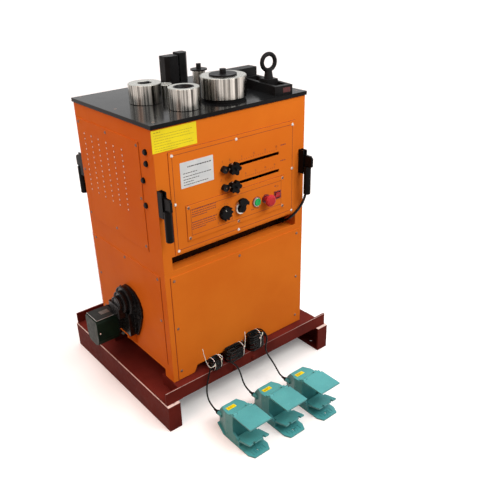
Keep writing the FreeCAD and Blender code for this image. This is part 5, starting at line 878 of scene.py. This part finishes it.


# Lid with a pale strip along its front and left edges as a painted highlight, blank plate, end bell and brush
# cap of the motor
def motorFittings(motor):
    lid = bmesh.new()
    top = facing("top", *motor["lidCentre"])
    addPrism(lid, roundedOutline(motor["lidSize"][0], motor["lidSize"][1], 3), -0.2, 0.9, top)
    finishPiece("motorLid", lid, "motorGrey", bevelMm=0.4)
    # The pale strip along the lid's front and left edges is a painted highlight
    trim = bmesh.new()
    wide, deep = motor["lidSize"]
    addPrism(trim, rectangle(wide, 1.3, 0, -deep / 2 - 0.3), -0.2, 1.1, top)
    addPrism(trim, rectangle(1.3, deep, -wide / 2 - 0.3, 0), -0.2, 1.1, top)
    finishPiece("motorLidEdgeHighlight", trim, "trim", bevelMm=0.3)
    plate = bmesh.new()
    plateOutline = roundedOutline(motor["plateSize"][0], motor["plateSize"][1], 1.5)
    addPrism(plate, plateOutline, 0.8, 1.5, facing("top", *motor["plateCentre"]))
    finishPiece("motorPlate", plate, "worn")
    bell = bmesh.new()
    bellOutline = roundedOutline(motor["bellSize"][0], motor["bellSize"][1], motor["bellCorner"])
    addPrism(bell, bellOutline, 0.0, motor["bellLong"], facing("left", *motor["bellCentre"]))
    finishPiece("motorEndBell", bell, "motorGreen", bevelMm=1.0)
    cap = bmesh.new()
    addLathe(cap, [(2.6, -0.5), (2.6, 1.2), (2.0, 2.0), (0, 2.2)], facing("front", *motor["capCentre"]), 24)
    finishPiece("brushCap", cap, "nylon", smooth=True)


motorFittings(dict(lidCentre=(-386, 44, 293), lidSize=(80, 74), plateCentre=(-377, 45, 293),
                   plateSize=(34, 23), capCentre=(-421, 1, 242), bellCentre=(-297, 45, 239),
                   bellSize=(86, 104), bellCorner=22, bellLong=31))


# Cover bolts and turned rims of the gearbox casting
def gearboxFittings(box):
    bolts = bmesh.new()
    for y, z in box["bolts"]:
        place = facing("left", box["flangeX"], y, z)
        addLathe(bolts, [(7.5, 0), (7.5, 1.4), (0, 1.4)], place, 24)
        addPrism(bolts, circleOutline(6.0, 6, 0.4), 1.4, 5.6, place)
    finishPiece("gearboxBolts", bolts, "casting", bevelMm=0.5)
    rings = bmesh.new()
    for radius, x in box["rims"]:
        profile = [(radius, 0), (radius - 0.2, 1.2), (radius - 2.2, 2.0), (radius - 4.0, 1.2),
                   (radius - 4.2, 0)]
        addLathe(rings, profile, facing("left", x, *box["centre"]), 56)
    finishPiece("gearboxRims", rings, "casting", smooth=True)


gearboxFittings(dict(flangeX=-326, bolts=[(-118, 330), (-96, 366), (-12, 402), (84, 236)],
                     rims=[(52, -341), (39, -356), (26, -371)], centre=(-47, 367)))


# Bolts through the front rail, and weld beads at the skid's corners and the deck's front edge
def skidFittings(skid):
    bolts = bmesh.new()
    for x, z in skid["bolts"]:
        place = facing("front", x, skid["railFrontY"], z)
        addLathe(bolts, [(9, 0), (9, 1.4), (0, 1.4)], place, 24)
        addPrism(bolts, circleOutline(7.0, 6), 1.4, 6.5, place)
    finishPiece("railBolts", bolts, "maroon", bevelMm=0.6)
    beads = bmesh.new()
    chance = random.Random(12)
    for start, end, side in skid["beads"]:
        count = round((Vector(end) - Vector(start)).length / 4.0)
        line = []
        for step in range(count * 2 + 1):
            spot = Vector(start).lerp(Vector(end), step / (count * 2))
            line.append(spot + Vector(side) * (0.6 if step % 2 else -0.2) * chance.uniform(0.7, 1.3))
        addSweep(beads, line, circleOutline(2.2, 6), side)
    finishPiece("weldBeads", beads, "maroon", smooth=True)


skidFittings(dict(railFrontY=-322, bolts=[(-81.7, 117), (2.4, 119)], beads=[
    ((-368, -321.8, 101), (-306, -321.8, 101), (0, 0, 1)),
    ((306, -321.8, 101), (368, -321.8, 101), (0, 0, 1)),
    ((-368, 328.5, 101), (-306, 328.5, 101), (0, 0, 1)), ((306, 328.5, 101), (368, 328.5, 101), (0, 0, 1)),
    ((-300, -221, 105), (300, -221, 105), (0, 0, 1))]))


# Blank yellow stickers, hinge pin ends, sole ribs and side screws of the foot switches
def pedalFittings(pedals):
    stickers, marks, pins, ribs = bmesh.new(), bmesh.new(), bmesh.new(), bmesh.new()
    chance = random.Random(4)
    tilt = Matrix.Rotation(math.radians(pedals["stickerTilt"]), 4, "X")
    wide, deep = pedals["stickerSize"]
    aside, along, height = pedals["stickerAt"]
    for x, y in pedals["places"]:
        top = Matrix.Translation(Vector((x + aside, y + along, height)) * mm) @ tilt
        addPrism(stickers, rectangle(wide, deep), -0.3, 0.5, top)
        printed = top @ Matrix.Translation((0, 0, 0.5 * mm))
        for row, share in pedals["markRows"]:
            addDashes(marks, chance, -13, -13 + 26 * share, row, 1.5, printed)
        for side, sign in (("left", -1), ("right", 1)):
            for pinAlong, pinHeight, radius, outward in pedals["pinEnds"]:
                place = facing(side, x + sign * outward, y + pinAlong, pinHeight)
                addLathe(pins, [(radius, -0.4), (radius, 0.5), (radius - 1, 1.1), (0, 1.2)], place, 20)
        for rib in range(pedals["ribs"]):
            middle = facing("top", x - 24 + rib * pedals["ribPitch"], y + 19, 5)
            addPrism(ribs, roundedOutline(4.2, 20, 2.0), -0.2, 1.6, middle)
    finishPiece("pedalStickers", stickers, "yellow")
    finishPiece("pedalStickerMarks", marks, "ink")
    finishPiece("pedalPinEnds", pins, "teal", smooth=True)
    finishPiece("soleRibs", ribs, "teal", bevelMm=0.5)


# Pin ends: along the switch, up from the floor, radius, and out from its middle
pedalFittings(dict(places=[(-203.5, -608), (-56.5, -617), (83.5, -630)], stickerSize=(34, 15),
                   stickerAt=(-11, 141, 104.6), stickerTilt=-6.4,
                   markRows=[(3.2, 0.8), (-0.2, 1.0), (-3.6, 0.6)],
                   pinEnds=[(82, 24, 4.4, 41.5), (96, 114, 4.4, 41.5), (128, 70, 3.4, 40.5),
                            (128, 22, 3.4, 40.5)], ribs=5, ribPitch=12))


# Tapered rubber sleeves where each cord leaves its housing
def cordSleeve(sleeve):
    mesh = bmesh.new()
    place = Matrix.Translation(Vector(sleeve["start"]) * mm) @ Vector(
        sleeve["way"]).to_track_quat("Z", "Y").to_matrix().to_4x4()
    root, tip, long = sleeve["root"], sleeve["tip"], sleeve["long"]
    profile = [(tip, -4), (root + 2.2, -4), (root + 2.2, 1.5), (root, 2.5)]
    for groove in range(sleeve["grooves"]):
        share = (groove + 0.5) / sleeve["grooves"]
        radius = root + (tip - root) * share
        height = 3 + (long - 5) * share
        profile += [(radius, height - 1.2), (radius - 0.5, height - 0.4), (radius - 0.5, height + 0.5),
                    (radius, height + 1.2)]
    profile += [(tip + 0.4, long), (tip - 0.5, long + 0.2)]
    addLathe(mesh, profile, place, 28)
    return finishPiece(sleeve["name"], mesh, "rubber", smooth=True)


sleeves = {name: cordSleeve(dict(name=name, start=start, way=way, root=root, tip=tip, long=long,
                                 grooves=grooves))
           for name, start, way, root, tip, long, grooves in (
               ("sleeveOne", (-230.5, -414, 58), (0, 1, 0), 5.4, 3.3, 18, 3),
               ("sleeveTwo", (-83.5, -423, 58), (0, 1, 0), 5.4, 3.3, 18, 3),
               ("sleeveThree", (56.5, -436, 58), (0, 1, 0), 5.4, 3.3, 18, 3),
               ("mainsSleeve", (200, -239, 572), (0, -1, 0), 7.6, 5.1, 24, 5))}


# White nylon ties round the put-away coils, each with its head and a loose tail
def cableTie(tie):
    mesh = bmesh.new()
    strap = rectangle(2.3, 0.9)
    width, height = tie["loop"][0], tie["loop"][1]
    loop = [Vector((tie["x"] + tie["lean"] * y / height, tie["centre"][0] + x, tie["centre"][1] + y))
            for x, y in roundedOutline(width, height, min(width, height) / 2 - 1, 8)]
    addSweep(mesh, loop, strap, (1, 0, 0), closed=True)
    head = Vector(tie["tail"][0])
    addPrism(mesh, rectangle(5.0, 5.6), 0.0, 4.0, facing("front", head.x, head.y + 1.5, head.z))
    addSweep(mesh, smoothLine(tie["tail"]), strap, tie["tailSide"])
    finishPiece(tie["name"], mesh, "nylon", bevelMm=0.3)


for tie in (
        dict(name="tieOne", x=-146, lean=4, centre=(-311.5, 168), loop=(44, 46), tailSide=(1, 0, 0),
             tail=[(-147, -334.5, 189), (-145, -338, 197), (-150, -337, 206), (-158, -331, 212)]),
        dict(name="tieOneEnd", x=-172, lean=3, centre=(-311.5, 167.5), loop=(43, 44), tailSide=(1, 0, 0),
             tail=[(-176, -335, 176), (-192, -336, 176), (-204, -335, 190), (-214, -333, 226),
                   (-220, -331, 263)]),
        dict(name="tieTwo", x=-47, lean=5, centre=(-311.5, 171.5), loop=(44, 53), tailSide=(1, 0, 0),
             tail=[(-46, -334.5, 194), (-46, -338, 203), (-44, -338, 226), (-40.6, -332, 252)]),
        dict(name="tieThree", x=31, lean=4, centre=(-311.5, 181), loop=(44, 72), tailSide=(1, 0, 0),
             tail=[(27, -334.5, 196), (30, -338, 204), (36, -337, 210), (41, -331, 213)])):
    cableTie(tie)
print("stage: fittings")


# Camera at the photograph's viewing angle
cameraSet = dict(azimuth=-37.667, elevation=27.277, roll=-2.018, distance=1.865408,
                 target=(-0.13247, -0.388149, 0.600), lens=45.96, shiftX=0.01886, shiftY=0.03272)
azimuth, elevation = math.radians(cameraSet["azimuth"]), math.radians(cameraSet["elevation"])
back = Vector((math.sin(azimuth) * math.cos(elevation), -math.cos(azimuth) * math.cos(elevation),
               math.sin(elevation)))
cameraData = bpy.data.cameras.new("photoCamera")
camera = bpy.data.objects.new("photoCamera", cameraData)
bpy.context.scene.collection.objects.link(camera)
camera.location = Vector(cameraSet["target"]) + back * cameraSet["distance"]
camera.rotation_mode = "QUATERNION"
roll = Matrix.Rotation(math.radians(cameraSet["roll"]), 3, "Z").to_quaternion()
camera.rotation_quaternion = (-back).to_track_quat("-Z", "Y") @ roll
cameraData.sensor_width = 36.0
cameraData.lens = cameraSet["lens"]
cameraData.shift_x, cameraData.shift_y = cameraSet["shiftX"], cameraSet["shiftY"]
cameraData.clip_start, cameraData.clip_end = 0.05, 80.0
bpy.context.scene.camera = camera


# Plain pale floor
def studioFloor(reach):
    mesh = bmesh.new()
    square = ((-1, -1), (1, -1), (1, 1), (-1, 1))
    mesh.faces.new([mesh.verts.new((x * reach, y * reach, -0.0006)) for x, y in square])
    data = bpy.data.meshes.new("studioFloor")
    mesh.to_mesh(data)
    mesh.free()
    floor = bpy.data.objects.new("studioFloor", data)
    bpy.context.scene.collection.objects.link(floor)
    data.materials.append(finishes["floor"])


studioFloor(30.0)


# Soft studio light
def addLight(light):
    data = bpy.data.lights.new(light["name"], "AREA")
    data.shape = "RECTANGLE"
    data.size, data.size_y = light["size"]
    data.energy = light["energy"]
    data.color = light.get("colour", (1.0, 1.0, 1.0))
    lamp = bpy.data.objects.new(light["name"], data)
    bpy.context.scene.collection.objects.link(lamp)
    lamp.location = light["place"]
    aim = Vector(light["aim"]) - Vector(light["place"])
    lamp.rotation_mode = "QUATERNION"
    lamp.rotation_quaternion = aim.to_track_quat("-Z", "Y")


for light in (
        dict(name="keySoftbox", place=(0.5, -1.7, 2.15), aim=(0.0, -0.25, 1.0), size=(1.3, 0.7), energy=29,
             colour=(1.0, 0.97, 0.92)),
        dict(name="overheadSoftbox", place=(-0.1, 0.1, 3.2), aim=(0, 0, 0.8), size=(1.8, 1.8), energy=14),
        dict(name="leftFill", place=(-2.0, -0.5, 2.0), aim=(-0.2, 0, 0.9), size=(1.0, 1.0), energy=12,
             colour=(1.0, 0.5, 0.32)),
        dict(name="backStrip", place=(-1.5, 2.4, 2.2), aim=(0, 0, 0.9), size=(0.8, 1.6), energy=3)):
    addLight(light)


# Sky that is brightest overhead and plain white where the camera sees it
def studioWorld(sky):
    world = bpy.data.worlds.new("studioWorld")
    bpy.context.scene.world = world
    world.use_nodes = True
    tree = world.node_tree
    tree.nodes.clear()
    seen = backgroundSeen(tree)
    height = split(tree, coordinates(tree, "Generated"))[2]
    steep = maths(tree, "POWER", remap(tree, height, 0.0, 1.0), sky["power"])
    strength = remap(tree, steep, 0.0, 1.0, sky["horizon"], sky["zenith"])
    warm = remap(tree, split(tree, coordinates(tree, "Generated"))[0], -0.9, -0.1, 1.0, 0.0)
    tint = mixColour(tree, warm, hexColour(sky["colour"]), hexColour(sky["leftColour"]))
    ambient = addNode(tree, "ShaderNodeBackground", {}, {"Color": tint, "Strength": strength})
    plain = addNode(tree, "ShaderNodeBackground", {}, {"Color": hexColour("FFFFFF"), "Strength": 1.0})
    both = addNode(tree, "ShaderNodeMixShader", {}, {0: seen, 1: ambient.outputs[0], 2: plain.outputs[0]})
    addNode(tree, "ShaderNodeOutputWorld", {}, {"Surface": both.outputs[0]})


studioWorld(dict(colour="F6F6F8", leftColour="F4A67C", horizon=0.12, zenith=2.2, power=1.8))
bpy.context.scene.view_settings.view_transform = "Standard"
print("stage: camera and light")


# Cords: one smooth line each, its points in millimetres
def addCord(cord):
    curve = bpy.data.curves.new(cord["name"], "CURVE")
    curve.dimensions = "3D"
    curve.bevel_depth = cord["diameterMm"] * mm / 2
    curve.bevel_resolution = 4
    curve.use_fill_caps = True
    curve.resolution_u = 5
    spline = curve.splines.new("NURBS")
    spline.points.add(len(cord["points"]) - 1)
    for target, spot in zip(spline.points, cord["points"]):
        target.co = (spot[0] * mm, spot[1] * mm, spot[2] * mm, 1.0)
    spline.order_u = 3
    spline.use_endpoint_u = True
    curve.materials.append(finishes["rubber"])
    piece = bpy.data.objects.new(cord["name"], curve)
    bpy.context.scene.collection.objects.link(piece)
    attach(piece, "base")
    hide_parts(*cord["nodes"])
    return piece


# A point on a loop of two straight strands and two round ends, at a share of its way round
def racetrack(share, straight, around, radius):
    travelled = share * (straight + around)
    quarterTurn, half = around / 4, straight / 4
    sign = 1.0
    if travelled > (straight + around) / 2:
        travelled -= (straight + around) / 2
        sign = -1.0
    if travelled < quarterTurn:
        angle = travelled / radius
        return sign * (half + radius * math.cos(angle)), sign * radius * math.sin(angle)
    if travelled < quarterTurn + 2 * half:
        return sign * (half - (travelled - quarterTurn)), sign * radius
    angle = (travelled - 2 * half) / radius
    return sign * (-half + radius * math.cos(angle)), sign * radius * math.sin(angle)


# A flattened hank: straight strands between two round ends; turns differ and fan out away from the tie
def hankPoints(hank):
    perTurn = 16
    straight = 4 * (hank["reachX"] - hank["reachY"])
    around = 2 * math.pi * hank["reachY"]
    points = []
    for step in range(round(hank["turns"] * perTurn) + 1):
        share = (hank["start"] / 360 + hank["sense"] * step / perTurn) % 1.0
        turn = step / perTurn
        spread = 1 - hank["loose"] * (0.5 + 0.5 * math.sin(turn * 2.4 + hank["phase"]))
        depth = 1 - 0.3 * hank["loose"] * (0.5 + 0.5 * math.sin(turn * 3.7 + hank["phase"] + 1))
        x, y = racetrack(share, straight, around, hank["reachY"])
        fan = hank["fan"] * (x / hank["reachX"] - hank["tieAt"]) * math.sin(turn * 1.9 + hank["phase"])
        points.append((hank["x"] + x * spread, hank["y"] + y * depth, hank["z"] + hank["pitch"] * turn + fan))
    return points


pedalHank = dict(y=-312.2, z=151.2, reachY=17.0, pitch=6.4, loose=0.1, barY=-264.0, fan=3.0)
pedalLeads = [
    dict(name="leadOne", length=0.93, sleeve="sleeveOne",
         route=[(-230.5, -414, 58), (-230.5, -390, 58), (-229, -356, 76), (-218, -338, 108),
                (-206, -336, 146), (-187, -331, 185)],
         hank=dict(pedalHank, x=-157.0, reachX=24.2, turns=5.25, sense=-1, start=0, phase=0.3, tieAt=0.4)),
    dict(name="leadTwo", length=1.47, sleeve="sleeveTwo",
         route=[(-83.5, -423, 58), (-83.5, -396, 58), (-77, -361, 67), (-73, -342, 99), (-88, -339, 137),
                (-114, -337, 162), (-104, -334, 191)],
         hank=dict(pedalHank, x=-73.5, reachX=41.7, turns=6.25, sense=-1, start=0, phase=1.4, tieAt=0.6)),
    dict(name="leadThree", length=1.82, sleeve="sleeveThree",
         route=[(56.5, -436, 58), (56.5, -410, 58), (66, -384, 61), (71, -352, 80), (54, -340, 116),
                (44, -341, 152), (60, -337, 180), (51, -331, 210)],
         hank=dict(pedalHank, x=23.0, reachX=34.2, turns=9.25, sense=1, start=180, phase=2.2, tieAt=0.3)),
]
for lead in pedalLeads:
    winding = hankPoints(lead["hank"])
    inside = (winding[0][0], lead["hank"]["barY"], lead["hank"]["z"])
    addCord(dict(name=lead["name"], points=lead["route"] + list(reversed(winding)) + [inside],
                 diameterMm=5.6, nodes=("pedal_cords", "pedal_coils"), length=lead["length"],
                 farEnd="object", stiffness="medium", lay="coiled", pieces=[sleeves[lead["sleeve"]]]))


def roundCoil(coil):
    perTurn = 16
    grow = 1 / math.cos(math.pi / perTurn)
    points = []
    for step in range(round(coil["turns"] * perTurn) + 1):
        angle = 2 * math.pi * step / perTurn
        points.append((coil["x"] + coil["radius"] * grow * math.cos(angle),
                       coil["y"] + coil["radius"] * grow * math.sin(angle),
                       coil["z"] + coil["pitch"] * step / perTurn))
    return points


mainsRoute = [(200, -239, 572), (200, -266, 572), (206, -303, 604), (250, -304, 633), (271, -303, 676),
              (286, -296, 733), (293, -250, 772), (293, -197, 760), (294, -165, 708), (290, -158, 600),
              (296, -150, 480), (290, -138, 360), (296, -112, 255), (288, -66, 196), (276, -14, 166),
              (273.5, 16, 163)]
mainsCoil = roundCoil(dict(x=320.0, y=50.0, z=108.9, radius=46.5, pitch=9.8, turns=5.5))
mainsTail = [(366.5, 20, 108.8), (361, -14, 111), (350, -44, 118), (350, -70, 118)]


# Moulded grip of the mains plug, with finger ribs and a tapered cord entry
def plugGrip(centre):
    mesh = bmesh.new()
    place = facing("front", *centre)
    addLathe(mesh, [(5.2, -1.5), (8.0, 0.0), (13.9, 0.4), (14.3, 2.0), (14.3, 5.0), (13.7, 6.0)], place, 40)
    for ridge in range(5):
        base = 9.0 + ridge * 5.2
        ring = [(13.45, base), (14.2, base + 0.7), (14.2, base + 1.9), (13.45, base + 2.6)]
        addLathe(mesh, ring, place, 40)
    grip = finishPiece("plugGrip", mesh, "blackPlastic", smooth=True)
    return grip


addCord(dict(name="mainsLead", points=mainsRoute + list(reversed(mainsCoil)) + mainsTail, diameterMm=9.0,
             nodes=("mains_cord", "mains_coil"), length=2.78, farEnd="plug", stiffness="medium",
             lay="coiled", pieces=[sleeves["mainsSleeve"], plugGrip((350, -70, 118)),
                                   frame["nodes"]["mains_plug"]]))
print("stage: cords")
